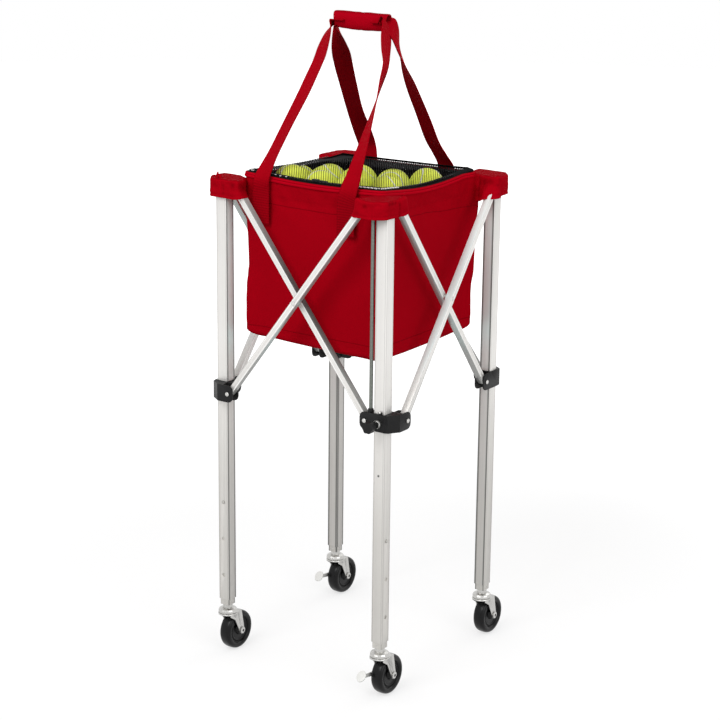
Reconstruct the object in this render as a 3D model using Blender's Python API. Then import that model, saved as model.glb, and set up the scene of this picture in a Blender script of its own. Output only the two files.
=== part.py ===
"""Wheeled ball basket: four square telescoping legs joined by folding scissor bars,
a fabric bag hung between the leg tops, and four swivel casters.
Metres, +Z up, origin on the floor under the middle of the basket, front at -Y."""

from math import atan2, cos, hypot, pi, radians, sin

import bmesh
import bpy
from mathutils import Matrix, Vector

GAP = 0.0003            # running clearance between touching pieces
FINE, ROUND, SMALL = 26, 16, 10     # sides of a large, a middling and a small circle

# legs
LEG_SPREAD = 0.176      # leg axis from the middle, along X and along Y
OUTER_SIZE = 0.0230
OUTER_WALL = 0.0013
OUTER_BOTTOM = 0.109
LEG_TOP = 0.9150
INNER_SIZE = OUTER_SIZE - 2 * OUTER_WALL - 2 * GAP
INNER_WALL = 0.0012
INNER_BOTTOM = 0.097
INNER_TOP = 0.430
PLUG = 0.004            # closed bottom of the inner tube
BUTTON_Z = 0.304
HOLE_PITCH = 0.073
HOLE_R = 0.0036

# scissor bars
PIVOT_REACH = 0.029     # pivot from its leg's axis, along the side
LOW_PIVOT = 0.526
HIGH_PIVOT = 0.910
BAR_WIDTH = 0.0110
BAR_DEPTH = 0.0130
BAR_WALL = 0.0011
INNER_BAR = -0.0012     # depth of each bar's inside face, outward from the leg axis
OUTER_BAR = 0.0163
PIN_R = 0.0030

# brackets
SLEEVE_IN = OUTER_SIZE / 2 + 0.0004
SLEEVE_OUT = 0.0153
EAR_END = 0.0396
EAR_HALF = 0.0160
EAR_CROWN = 0.0075      # above the upper pivots
PLATE = 0.0025

# casters
WHEEL_R = 0.0375
WHEEL_HALF = 0.0120
TRAIL = 0.024
STEM_R = 0.0050
AXLE_R = 0.0040
CROWN_Z = 0.0770
CROWN_T = 0.0028
FORK_IN = 0.0137
FORK_OUT = 0.0157
RACE_R = 0.0180

# bag
BAG_BOTTOM = 0.631
BAG_RIM = 0.921
BAG_HALF = 0.153
BAG_CORNER = 0.018
CLOTH = 0.0020
PIPING_R = 0.0026
POCKET_TOP = 0.9222       # over the leg caps
POCKET_FOOT = 0.8860
STRAP_X = 0.105
STRAP_W = 0.037
STRAP_T = 0.0016
GRIP_Z = 1.199
GRIP_HALF = 0.058

CORNERS = (
    ("front_left", -1, -1),
    ("front_right", 1, -1),
    ("rear_right", 1, 1),
    ("rear_left", -1, 1),
)
SIDES = ("front", "right", "rear", "left")


def clear_scene():
    for obj in list(bpy.data.objects):
        bpy.data.objects.remove(obj, do_unlink=True)


def material(name, colour, roughness, metallic=0.0):
    mat = bpy.data.materials.new(name)
    mat.use_nodes = True
    shader = mat.node_tree.nodes["Principled BSDF"]
    shader.inputs["Base Color"].default_value = (*colour, 1.0)
    shader.inputs["Roughness"].default_value = roughness
    shader.inputs["Metallic"].default_value = metallic
    mat.diffuse_color = (*colour, 1.0)
    return mat


def finish(bm, name):
    bmesh.ops.recalc_face_normals(bm, faces=bm.faces)
    mesh = bpy.data.meshes.new(name)
    bm.to_mesh(mesh)
    bm.free()
    return mesh


def box(lo, hi, name="box"):
    bm = bmesh.new()
    size = [b - a for a, b in zip(lo, hi)]
    middle = [(a + b) / 2 for a, b in zip(lo, hi)]
    bmesh.ops.create_cube(
        bm, size=1, matrix=Matrix.Translation(middle) @ Matrix.Diagonal((*size, 1))
    )
    return finish(bm, name)


def slab(outline, plane, start, end, name="slab"):
    """A flat outline raised between two planes. plane names the outline's two axes."""
    first, second = ("xyz".index(letter) for letter in plane)
    third = 3 - first - second
    bm = bmesh.new()

    def at(point, height):
        co = [0.0, 0.0, 0.0]
        co[first], co[second], co[third] = point[0], point[1], height
        return bm.verts.new(co)

    low = [at(p, start) for p in outline]
    high = [at(p, end) for p in outline]
    bm.faces.new(low)
    bm.faces.new(high)
    for i in range(len(outline)):
        j = (i + 1) % len(outline)
        bm.faces.new((low[i], low[j], high[j], high[i]))
    return finish(bm, name)


def turned(profile, segments=32, axis="z", name="turned"):
    """A profile of (radius, height) points spun into a closed solid."""
    bm = bmesh.new()
    rings = []
    for radius, height in profile:
        if radius < 1e-7:
            rings.append([bm.verts.new((0, 0, height))])
            continue
        rings.append(
            [
                bm.verts.new((radius * cos(a), radius * sin(a), height))
                for a in (2 * pi * i / segments for i in range(segments))
            ]
        )
    closed = rings + ([rings[0]] if len(rings[0]) > 1 and len(rings[-1]) > 1 else [])
    for low, high in zip(closed, closed[1:]):
        for i in range(segments):
            j = (i + 1) % segments
            corners = [low[i % len(low)], low[j % len(low)], high[j % len(high)], high[i % len(high)]]
            corners = list(dict.fromkeys(corners))
            if len(corners) > 2:
                bm.faces.new(corners)
    if axis == "x":
        bmesh.ops.transform(bm, matrix=Matrix.Rotation(pi / 2, 4, "Y"), verts=bm.verts)
    if axis == "y":
        bmesh.ops.transform(bm, matrix=Matrix.Rotation(-pi / 2, 4, "X"), verts=bm.verts)
    return finish(bm, name)


def rod(radius, start, end, segments=ROUND, axis="z"):
    return turned([(0, start), (radius, start), (radius, end), (0, end)], segments, axis)


def moved(mesh, offset=(0, 0, 0), turn=0.0, about="X"):
    mesh = mesh.copy()
    mesh.transform(Matrix.Translation(offset) @ Matrix.Rotation(turn, 4, about))
    return mesh


def combined(base, *steps):
    """The mesh after each (operation, mesh) step of exact Booleans."""
    body = bpy.data.objects.new("work", base)
    bpy.context.scene.collection.objects.link(body)
    helpers = []
    for operation, tool_mesh in steps:
        tool = bpy.data.objects.new("tool", tool_mesh)
        bpy.context.scene.collection.objects.link(tool)
        tool.hide_render = True
        tool.display_type = "WIRE"
        modifier = body.modifiers.new(operation, "BOOLEAN")
        modifier.operation = operation
        modifier.solver = "EXACT"
        modifier.object = tool
        helpers.append(tool)
    bpy.context.view_layer.update()
    graph = bpy.context.evaluated_depsgraph_get()
    result = bpy.data.meshes.new_from_object(body.evaluated_get(graph))
    for obj in (body, *helpers):
        bpy.data.objects.remove(obj, do_unlink=True)
    return result


def rounded_square(half, corner, steps=4):
    """Points round a square with rounded corners, anticlockwise."""
    points = []
    for turn, (sx, sy) in enumerate(((1, -1), (1, 1), (-1, 1), (-1, -1))):
        middle = Vector((sx, sy)) * (half - corner)
        for i in range(steps + 1):
            a = -pi / 2 + turn * pi / 2 + (pi / 2) * i / steps
            points.append(middle + Vector((cos(a), sin(a))) * corner)
    return points


def place(name, mesh, mat, parent=None, at=(0, 0, 0), smooth=None):
    obj = bpy.data.objects.new(name, mesh)
    bpy.context.scene.collection.objects.link(obj)
    obj.location = at
    if parent:
        obj.parent = parent
    if smooth:
        mesh.shade_smooth()
        mesh.set_sharp_from_angle(angle=radians(smooth))
    mesh.materials.clear()
    mesh.materials.append(mat)
    return obj


def shifted(mesh, origin):
    """The same shape with its own origin on a joint's axis."""
    mesh = mesh.copy()
    mesh.transform(Matrix.Translation([-v for v in origin]))
    return mesh


def square_tube(size, wall, bottom, top, name):
    h = size / 2
    outside = box((-h, -h, bottom), (h, h, top), name)
    inside = box((-h + wall, -h + wall, bottom - 0.01), (h - wall, h - wall, top + 0.01))
    return outside, inside


def outer_leg():
    outside, inside = square_tube(OUTER_SIZE, OUTER_WALL, OUTER_BOTTOM, LEG_TOP, "outer_leg")
    bevelled = bevel(outside, 0.0012)
    steps = [("DIFFERENCE", inside)]
    for i in range(3):
        z = BUTTON_Z - i * HOLE_PITCH
        steps.append(("DIFFERENCE", moved(rod(HOLE_R, -0.02, -0.005, SMALL, "y"), (0, 0, z))))
    return combined(bevelled, *steps)


def bevel(mesh, width, segments=2, upright_only=True):
    bm = bmesh.new()
    bm.from_mesh(mesh)
    edges = [
        e for e in bm.edges
        if not upright_only or abs((e.verts[0].co - e.verts[1].co).normalized().z) > 0.9
    ]
    bmesh.ops.bevel(bm, geom=edges, offset=width, segments=segments, profile=0.5, affect="EDGES")
    return finish(bm, mesh.name)


def inner_leg():
    h = INNER_SIZE / 2
    outside = bevel(box((-h, -h, INNER_BOTTOM), (h, h, INNER_TOP), "inner_leg"), 0.0010)
    inside = box(
        (-h + INNER_WALL, -h + INNER_WALL, INNER_BOTTOM + PLUG),
        (h - INNER_WALL, h - INNER_WALL, INNER_TOP + 0.01),
    )
    return combined(
        outside,
        ("DIFFERENCE", inside),
        ("DIFFERENCE", rod(STEM_R + GAP, INNER_BOTTOM - 0.01, INNER_BOTTOM + PLUG + 0.01)),
        ("DIFFERENCE", moved(rod(HOLE_R, -0.02, -0.005, SMALL, "y"), (0, 0, BUTTON_Z))),
    )


def snap_clip():
    """A folded leaf spring inside the inner tube, with the button that locks the leg."""
    face = -INNER_SIZE / 2 + INNER_WALL + GAP
    leaf = 0.0008
    outline = [
        (face, BUTTON_Z - 0.010),
        (face + leaf, BUTTON_Z - 0.010),
        (face + leaf, BUTTON_Z + 0.030),
        (0.0, BUTTON_Z + 0.0445),
        (-face - leaf, BUTTON_Z + 0.012),
        (-face, BUTTON_Z + 0.012),
        (0.0006, BUTTON_Z + 0.0465),
        (-0.0006, BUTTON_Z + 0.0465),
        (face, BUTTON_Z + 0.0315),
    ]
    strip = slab(outline, "yz", -0.0045, 0.0045, "snap_clip")
    nose = turned(
        [(0, face + 0.0004), (0.0032, face + 0.0004), (0.0032, -0.0124), (0.0024, -0.0133), (0, -0.0136)],
        SMALL, "y",
    )
    return combined(strip, ("UNION", moved(nose, (0, 0, BUTTON_Z))))


def ear_plate(depth, start, end, low, high, along):
    """An upright ear with a rounded free end, at a depth outward from the leg axis."""
    reach, centre, r = EAR_END - 0.010, (low + high) / 2, 0.010
    outline = [(start, low)]
    for i in range(4):
        a = -pi / 2 + (pi / 2) * i / 3
        outline.append((reach + r * cos(a), low + r + r * sin(a)))
    for i in range(4):
        a = (pi / 2) * i / 3
        outline.append((reach + r * cos(a), high - r + r * sin(a)))
    outline.append((start, high))
    if along == "x":
        return slab(outline, "xz", -depth - PLATE, -depth)
    return slab(outline, "yz", -depth - PLATE, -depth)


def pin_across(reach, z, start, end, along):
    """A headed rivet through both ears. Depths are outward from the leg axis."""
    head = 0.0015
    profile = [
        (0, start - head), (0.0046, start - head), (0.0050, start), (PIN_R, start),
        (PIN_R, end), (0.0050, end), (0.0046, end + head), (0, end + head),
    ]
    mesh = turned(profile, SMALL, "y")
    mesh.transform(Matrix.Scale(-1, 4, (0, 1, 0)))
    mesh.flip_normals()
    if along == "x":
        return moved(mesh, (reach, 0, z))
    mesh = moved(mesh, (0, 0, 0), -pi / 2, "Z")
    return moved(mesh, (0, reach, z))


def bracket(pivot_z, outer_along, closed_top=None):
    """A black moulded sleeve with one pair of ears for each of the two sides' bars."""
    inner_along = "y" if outer_along == "x" else "x"
    low, high = pivot_z - EAR_HALF, pivot_z + (EAR_CROWN if closed_top else EAR_HALF)
    s = SLEEVE_OUT
    body = bevel(box((-s, -s, low), (s, s, high + 0.0002), "bracket"), 0.0016)
    deep_out = OUTER_BAR + BAR_DEPTH + 0.0010
    deep_in = INNER_BAR - 0.0010 - PLATE
    near = OUTER_BAR - 0.0010 - PLATE
    skirt = [
        (-s + 0.001, -near), (s - 0.001, -near), (s + 0.002, -deep_out),
        (s + 0.002, -deep_out - PLATE), (0.006, -deep_out - PLATE), (-s + 0.001, -near - PLATE - 0.004),
    ]
    if outer_along == "y":
        skirt = [(y, x) for x, y in skirt]
    steps = [
        ("UNION", slab(skirt, "xy", low, high)),
        ("UNION", ear_plate(deep_out, 0.005, None, low, high, outer_along)),
        ("UNION", ear_plate(near, 0.005, None, low, high, outer_along)),
        ("UNION", ear_plate(near, 0.005, None, low, high, inner_along)),
        ("UNION", ear_plate(deep_in, 0.012, None, low, high, inner_along)),
        ("UNION", pin_across(PIVOT_REACH, pivot_z, near, deep_out + PLATE, outer_along)),
        ("UNION", pin_across(PIVOT_REACH, pivot_z, deep_in, near + PLATE, inner_along)),
    ]
    bore = SLEEVE_IN
    if closed_top is None:
        steps.append(("DIFFERENCE", box((-bore, -bore, low - 0.01), (bore, bore, high + 0.01))))
        return combined(body, *steps)
    steps.insert(0, ("UNION", bevel(box((-s, -s, high - 0.002), (s, s, closed_top + 0.003)), 0.0016)))
    steps.append(("DIFFERENCE", box((-bore, -bore, low - 0.01), (bore, bore, closed_top + GAP))))
    return combined(body, *steps)


def bar(low_x, low_z, high_x, high_z, depth):
    """A hollow bar in a side's own frame, where -Y is outward, with three pivot holes."""
    run, rise = high_x - low_x, high_z - low_z
    length, tilt = hypot(run, rise), atan2(rise, run)
    half, end = BAR_WIDTH / 2, BAR_WIDTH / 2 - 0.0002
    outline = []
    for centre, start in ((length / 2, -pi / 2), (-length / 2, pi / 2)):
        for i in range(5):
            a = start + pi * i / 4
            outline.append((centre + end * cos(a), half * sin(a)))
    y0 = -LEG_SPREAD - depth - BAR_DEPTH
    y1 = -LEG_SPREAD - depth
    body = slab(outline, "xz", y0, y1, "bar")
    core = box(
        (-length / 2 - 0.02, y0 + BAR_WALL, -half + BAR_WALL),
        (length / 2 + 0.02, y1 - BAR_WALL, half - BAR_WALL),
    )
    steps = [("DIFFERENCE", core)]
    for x in (-length / 2, 0, length / 2):
        steps.append(("DIFFERENCE", moved(rod(PIN_R + GAP, y0 - 0.01, y1 + 0.01, SMALL, "y"), (x, 0, 0))))
    mesh = combined(body, *steps)
    mesh.transform(Matrix.Rotation(-tilt, 4, "Y"))
    mesh.transform(Matrix.Translation(((low_x + high_x) / 2, 0, (low_z + high_z) / 2)))
    return mesh


def crossing_pivot():
    """The rivet and washer where a side's two bars cross."""
    washer_in = INNER_BAR + BAR_DEPTH + GAP
    washer_out = OUTER_BAR - GAP
    start, end = INNER_BAR - GAP, OUTER_BAR + BAR_DEPTH + GAP
    head, head_r = 0.0006, 0.0040
    profile = [
        (0, start - head), (head_r - 0.0006, start - head), (head_r, start), (PIN_R, start),
        (PIN_R, washer_in), (0.0065, washer_in), (0.0065, washer_out), (PIN_R, washer_out),
        (PIN_R, end), (head_r, end), (head_r - 0.0006, end + head), (0, end + head),
    ]
    mesh = turned(profile, SMALL, "y")
    mesh.transform(Matrix.Scale(-1, 4, (0, 1, 0)))
    mesh.flip_normals()
    return moved(mesh, (0, -LEG_SPREAD, (LOW_PIVOT + HIGH_PIVOT) / 2))


def caster_stem():
    """Stem, upper ball race and king pin head, all one turned piece on the inner leg."""
    over = CROWN_Z + CROWN_T + GAP
    profile = [
        (0, CROWN_Z - 0.0036), (0.0075, CROWN_Z - 0.0036), (0.0080, CROWN_Z - 0.0030),
        (0.0080, CROWN_Z - GAP), (STEM_R, CROWN_Z - GAP), (STEM_R, over),
        (RACE_R - 0.0010, over), (RACE_R, over + 0.0012), (RACE_R, over + 0.0050),
        (RACE_R - 0.0016, over + 0.0078), (0.0115, over + 0.0098), (0.0095, over + 0.0100),
        (0.0095, INNER_BOTTOM - GAP), (STEM_R, INNER_BOTTOM - GAP),
        (STEM_R, INNER_BOTTOM + 0.030), (STEM_R - 0.001, INNER_BOTTOM + 0.031), (0, INNER_BOTTOM + 0.031),
    ]
    return turned(profile, ROUND, name="caster_stem")


def caster_fork():
    """Pressed crown over two arms that slope back to the axle."""
    top = CROWN_Z + CROWN_T
    crown = turned([(0, CROWN_Z), (RACE_R, CROWN_Z), (RACE_R + 0.0007, CROWN_Z + 0.0012),
                    (RACE_R, top), (0, top)], FINE, name="caster_fork")
    bridge = box((-FORK_OUT, 0.004, CROWN_Z), (FORK_OUT, 0.0225, top))
    r = 0.0068
    arm = [(-0.009, top - 0.0001), (-0.009, CROWN_Z - 0.004), (0.003, CROWN_Z - 0.012)]
    for i in range(6):
        a = radians(205 + 150 * i / 5)
        arm.append((TRAIL + r * cos(a), WHEEL_R + r * sin(a)))
    arm += [(0.0262, 0.060), (0.0225, top - 0.0001)]
    steps = [("UNION", bridge)]
    for side in (-1, 1):
        a, b = sorted((side * FORK_IN, side * FORK_OUT))
        steps.append(("UNION", slab(arm, "yz", a, b)))
    steps.append(("DIFFERENCE", rod(STEM_R + GAP, CROWN_Z - 0.01, top + 0.01)))
    steps.append(("DIFFERENCE", moved(rod(AXLE_R + GAP, -0.03, 0.03, ROUND, "x"), (0, TRAIL, WHEEL_R))))
    return combined(crown, *steps)


def wheel():
    """Its tread's flats lie at the true radius, with one of them on the floor."""
    w, r = WHEEL_HALF, WHEEL_R / cos(pi / FINE)
    hub = FORK_IN - GAP
    profile = [
        (AXLE_R + GAP, -hub), (0.0090, -hub), (0.0105, -w + 0.0045), (0.0250, -w + 0.0045),
        (0.0290, -w), (0.0345, -w + 0.0014), (r, -w + 0.0075),
        (r, w - 0.0075), (0.0345, w - 0.0014), (0.0290, w),
        (0.0250, w - 0.0045), (0.0105, w - 0.0045), (0.0090, hub), (AXLE_R + GAP, hub),
    ]
    mesh = turned(profile, FINE, "x", "wheel")
    mesh.transform(Matrix.Rotation(pi / FINE, 4, "X"))
    return mesh


def axle(left_reach):
    head = 0.0020
    a, b = -left_reach - GAP, FORK_OUT + GAP
    profile = [
        (0, a - head), (0.0050, a - head), (0.0058, a), (AXLE_R, a),
        (AXLE_R, b), (0.0058, b), (0.0050, b + head), (0, b + head),
    ]
    return turned(profile, 14, "x", "axle")


def brake_lever():
    """A foot lever on the axle, outside the fork, ending in a tilted oval pad."""
    r, near, far = 0.0070, -FORK_OUT - GAP, -FORK_OUT - GAP - 0.0022
    tip = (-0.0270, 0.0440)
    outline = []
    for i in range(11):
        a = radians(-60 + 200 * i / 10)
        outline.append((TRAIL + r * cos(a), WHEEL_R + r * sin(a)))
    outline += [(tip[0], tip[1] + 0.0035), (tip[0], tip[1] - 0.0035)]
    arm = slab(outline, "yz", far, near, "brake_lever")
    pad = turned([(0, -0.00125), (0.0095, -0.00125), (0.0100, 0), (0.0095, 0.00125), (0, 0.00125)], 24)
    pad.transform(Matrix.Diagonal((0.95, 1.12, 1, 1)))
    pad = moved(pad, (near - 0.004, -0.0290, 0.0445), radians(50), "X")
    return combined(
        arm,
        ("UNION", pad),
        ("DIFFERENCE", moved(rod(AXLE_R + GAP, -0.03, 0.0, ROUND, "x"), (0, TRAIL, WHEEL_R))),
    )


def lock_rod():
    """A thin rod up from the front right sliding bracket, with its black foot."""
    x, depth = -0.0195, 0.0100
    foot = LOW_PIVOT + EAR_HALF + 0.0005
    profile = [(0, foot), (0.0052, foot), (0.0052, foot + 0.010), (0.0024, foot + 0.011),
               (0.0024, HIGH_PIVOT - EAR_HALF - 0.004), (0, HIGH_PIVOT - EAR_HALF - 0.004)]
    return moved(turned(profile, 16), (x, -depth, 0))


def lock_knob():
    """The pull knob whose spring pin holds the front right sliding bracket."""
    face = SLEEVE_OUT + GAP
    lobes, mean = 6, 0.0098
    outline = []
    for i in range(36):
        a = 2 * pi * i / 36
        radius = mean + 0.0007 * cos(lobes * a)
        outline.append((radius * cos(a), radius * sin(a)))
    grip = slab(outline, "xz", -face - 0.034, -face - 0.021, "lock_knob")
    stem = turned(
        [(0, -face - 0.030), (0.0045, -face - 0.030), (0.0045, -face - 0.010), (0.0070, -face - 0.010),
         (0.0070, -face), (0, -face)], 20, "y")
    return combined(grip, ("UNION", stem))


def bag_half(z):
    """The cloth bulges a little between the floor and the rim."""
    t = (z - BAG_BOTTOM) / (BAG_RIM - BAG_BOTTOM)
    return BAG_HALF - 0.004 + 0.006 * sin(pi * min(1.0, 0.12 + 0.88 * t)) + 0.001 * t


def bag_stack(inset, levels, name):
    bm = bmesh.new()
    rings = []
    for z, squeeze in levels:
        half = bag_half(min(max(z, BAG_BOTTOM), BAG_RIM)) - inset - squeeze
        corner = BAG_CORNER - inset - squeeze * 0.5
        rings.append([bm.verts.new((p.x, p.y, z)) for p in rounded_square(half, corner)])
    bm.faces.new(rings[0])
    bm.faces.new(rings[-1])
    for low, high in zip(rings, rings[1:]):
        for i in range(len(low)):
            j = (i + 1) % len(low)
            bm.faces.new((low[i], low[j], high[j], high[i]))
    return finish(bm, name)


def pocket(sx, sy, turn):
    """A sewn corner sleeve that drops over a leg top and its bracket."""
    outline = [(-0.0372, 0.0020), (-0.0215, -0.0190), (0.020, -0.0190), (0.044, -0.0180),
               (0.0500, 0.010), (0.0500, 0.042), (0.042, 0.0500), (0.010, 0.0500),
               (0.000, 0.0480), (-0.0372, 0.0450)]
    body = slab(outline, "xy", POCKET_FOOT, POCKET_TOP, "pocket")
    body.transform(Matrix.Translation((sx * LEG_SPREAD, sy * LEG_SPREAD, 0)) @ Matrix.Rotation(turn, 4, "Z"))
    return body


def pocket_cavity(sx, sy, turn):
    s = SLEEVE_OUT + 0.0012
    sleeve = box((-s, -s, 0.86), (s, s, LEG_TOP + 0.0045))
    shallow = 0.0028 + PLATE - INNER_BAR
    side = box((0, -s - 0.0010, 0.86), (EAR_END + 0.0012, shallow, HIGH_PIVOT + EAR_CROWN + 0.0015))
    deep = OUTER_BAR + BAR_DEPTH + 0.001 + PLATE + 0.0023
    other = box((-deep, 0.005, 0.86), (-OUTER_BAR + 0.0062, EAR_END + 0.0012, HIGH_PIVOT + EAR_CROWN + 0.0015))
    skirt = slab([(0.001, 0.001 - s), (0.001, 0.022), (0.0005 - deep, 0.022), (0.0005 - deep, 0.0046),
                  (-s - 0.004, 0.001 - s)], "xy", 0.859, HIGH_PIVOT + EAR_CROWN + 0.0010)
    bar_way = box((0.01, -s - 0.0007, 0.8585), (0.060, shallow - 0.0004, 0.9065))
    bar_way_deep = box((0.0004 - deep, 0.01, 0.8585), (-OUTER_BAR + 0.0058, 0.060, 0.9065))
    out = combined(
        sleeve, ("UNION", side), ("UNION", other), ("UNION", skirt), ("UNION", bar_way), ("UNION", bar_way_deep)
    )
    out.transform(Matrix.Translation((sx * LEG_SPREAD, sy * LEG_SPREAD, 0)) @ Matrix.Rotation(turn, 4, "Z"))
    return out


def bag_shell():
    levels = [(BAG_BOTTOM, 0.010), (BAG_BOTTOM + 0.003, 0.003), (BAG_BOTTOM + 0.010, 0.0)]
    levels += [(BAG_BOTTOM + 0.010 + (BAG_RIM - BAG_BOTTOM - 0.010) * i / 5, 0.0) for i in range(1, 6)]
    outside = bag_stack(0.0, levels, "bag_shell")
    hollow = [(z + (CLOTH if i < 3 else 0.0), s) for i, (z, s) in enumerate(levels)]
    seat = -0.0035 - PIPING_R + CLOTH - GAP
    hollow[-1] = (BAG_RIM + 0.0001, 0.0)
    hollow += [(BAG_RIM + 0.0002, seat), (BAG_RIM + 0.02, seat)]
    inside = bag_stack(CLOTH, hollow, "bag_inside")
    steps = []
    for k, (_, sx, sy) in enumerate(CORNERS):
        steps.append(("UNION", pocket(sx, sy, k * pi / 2)))
    for k, (_, sx, sy) in enumerate(CORNERS):
        steps.append(("DIFFERENCE", pocket_cavity(sx, sy, k * pi / 2)))
    steps.append(("DIFFERENCE", inside))
    return combined(outside, *steps)


def ring(half, corner, radius, z, name):
    """A round cord run along a rounded square."""
    path = rounded_square(half, corner, 5)
    bm = bmesh.new()
    loops = []
    for i, p in enumerate(path):
        ahead = (path[(i + 1) % len(path)] - path[i - 1]).normalized()
        out = Vector((ahead.y, -ahead.x))
        loop = []
        for j in range(6):
            a = 2 * pi * j / 6
            q = p + out * radius * cos(a)
            loop.append(bm.verts.new((q.x, q.y, z + radius * sin(a))))
        loops.append(loop)
    for low, high in zip(loops, loops[1:] + loops[:1]):
        for j in range(6):
            k = (j + 1) % 6
            bm.faces.new((low[j], low[k], high[k], high[j]))
    return finish(bm, name)


def mesh_lid():
    """The zipped net over the balls, slightly domed."""
    half, corner, thick = BAG_HALF - 0.0063, BAG_CORNER - 0.0010, 0.0014
    bm = bmesh.new()
    stacks = []
    for lift in (0.0, thick):
        rings = []
        for share in (1.0, 0.82, 0.55, 0.25):
            rise = 0.0085 * (1 - share ** 2)
            z = BAG_RIM + 0.0040 + lift + rise
            rings.append([bm.verts.new((p.x * share, p.y * share, z)) for p in rounded_square(half, corner)])
        top = bm.verts.new((0, 0, BAG_RIM + 0.0040 + lift + 0.0085))
        for low, high in zip(rings, rings[1:]):
            for i in range(len(low)):
                j = (i + 1) % len(low)
                bm.faces.new((low[i], low[j], high[j], high[i]))
        for i in range(len(rings[-1])):
            bm.faces.new((rings[-1][i], rings[-1][(i + 1) % len(rings[-1])], top))
        stacks.append(rings[0])
    low, high = stacks
    for i in range(len(low)):
        j = (i + 1) % len(low)
        bm.faces.new((low[i], low[j], high[j], high[i]))
    return finish(bm, "mesh_lid")


def ribbon(stations, thickness, name):
    """A strap through (centre, along, face) stations. face points out of its wide side."""
    bm = bmesh.new()
    rings = []
    for centre, across, face, width in stations:
        half, off = across.normalized() * width / 2, face.normalized() * thickness / 2
        rings.append([bm.verts.new(centre + half * s + off * t) for s, t in ((-1, -1), (1, -1), (1, 1), (-1, 1))])
    bm.faces.new(rings[0])
    bm.faces.new(rings[-1])
    for low, high in zip(rings, rings[1:]):
        for i in range(4):
            j = (i + 1) % 4
            bm.faces.new((low[i], low[j], high[j], high[i]))
    return finish(bm, name)


def strap():
    """The front handle strap: up one side of the bag's face, through the grip, down the other."""
    off = STRAP_T / 2 + GAP
    rim = -(bag_half(BAG_RIM) - 0.0008 + PIPING_R + off + 0.0002)
    route = [(Vector((-STRAP_X, -bag_half(z) - off, z)), STRAP_W) for z in (0.800, 0.835, 0.870, 0.905)]
    route += [
        (Vector((-STRAP_X, rim, BAG_RIM + 0.006)), STRAP_W),
        (Vector((-STRAP_X + 0.006, -0.1400, 0.975)), STRAP_W),
        (Vector((-STRAP_X + 0.022, -0.0900, 1.070)), STRAP_W - 0.003),
        (Vector((-GRIP_HALF - 0.022, -0.0330, 1.153)), STRAP_W - 0.008),
        (Vector((-GRIP_HALF - 0.016, -0.0085, 1.187)), STRAP_W - 0.013),
        (Vector((-GRIP_HALF - 0.008, -0.0016, GRIP_Z - 0.002)), STRAP_W - 0.015),
        (Vector((-GRIP_HALF + 0.010, -0.0014, GRIP_Z)), STRAP_W - 0.016),
        (Vector((-0.020, -0.0014, GRIP_Z)), STRAP_W - 0.016),
    ]
    full = route + [(Vector((-p.x, p.y, p.z)), w) for p, w in reversed(route)]
    stations = []
    for i, (p, width) in enumerate(full):
        ahead = full[min(i + 1, len(full) - 1)][0] - full[max(i - 1, 0)][0]
        lean = Vector((0, -1, 0.35 if 0.94 < p.z < 1.19 else 0.0))
        across = ahead.normalized().cross(lean)
        face = across.cross(ahead.normalized())
        stations.append((p, across, face, width))
    return ribbon(stations, STRAP_T, "handle_strap")


def grip():
    """The padded wrap that holds both straps together."""
    bm = bmesh.new()
    rings = []
    for x, swell in ((-GRIP_HALF, 0.90), (-GRIP_HALF + 0.006, 1.0), (0.0, 0.95), (GRIP_HALF - 0.006, 1.0),
                     (GRIP_HALF, 0.90)):
        rings.append([
            bm.verts.new((x, 0.0088 * swell * cos(a), GRIP_Z + 0.0142 * swell * sin(a)))
            for a in (2 * pi * i / 24 for i in range(24))
        ])
    bm.faces.new(rings[0])
    bm.faces.new(rings[-1])
    for low, high in zip(rings, rings[1:]):
        for i in range(24):
            j = (i + 1) % 24
            bm.faces.new((low[i], low[j], high[j], high[i]))
    slot = box((-GRIP_HALF - 0.01, -0.0031, GRIP_Z - 0.0120), (GRIP_HALF + 0.01, 0.0031, GRIP_Z + 0.0118))
    return combined(finish(bm, "grip_wrap"), ("DIFFERENCE", slot))


def zip_pull():
    """The slider and tab of the lid's zip, at the middle of the front edge."""
    z = BAG_RIM + 0.0040 + 0.0014 + GAP + 0.0011
    y = -BAG_HALF + 0.0150
    tab = box((-0.006, y - 0.0035, z), (0.006, y + 0.0035, z + 0.004), "zip_pull")
    return combined(tab, ("UNION", box((0.004, y - 0.0022, z + 0.001), (0.024, y + 0.0022, z + 0.003))))


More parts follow.
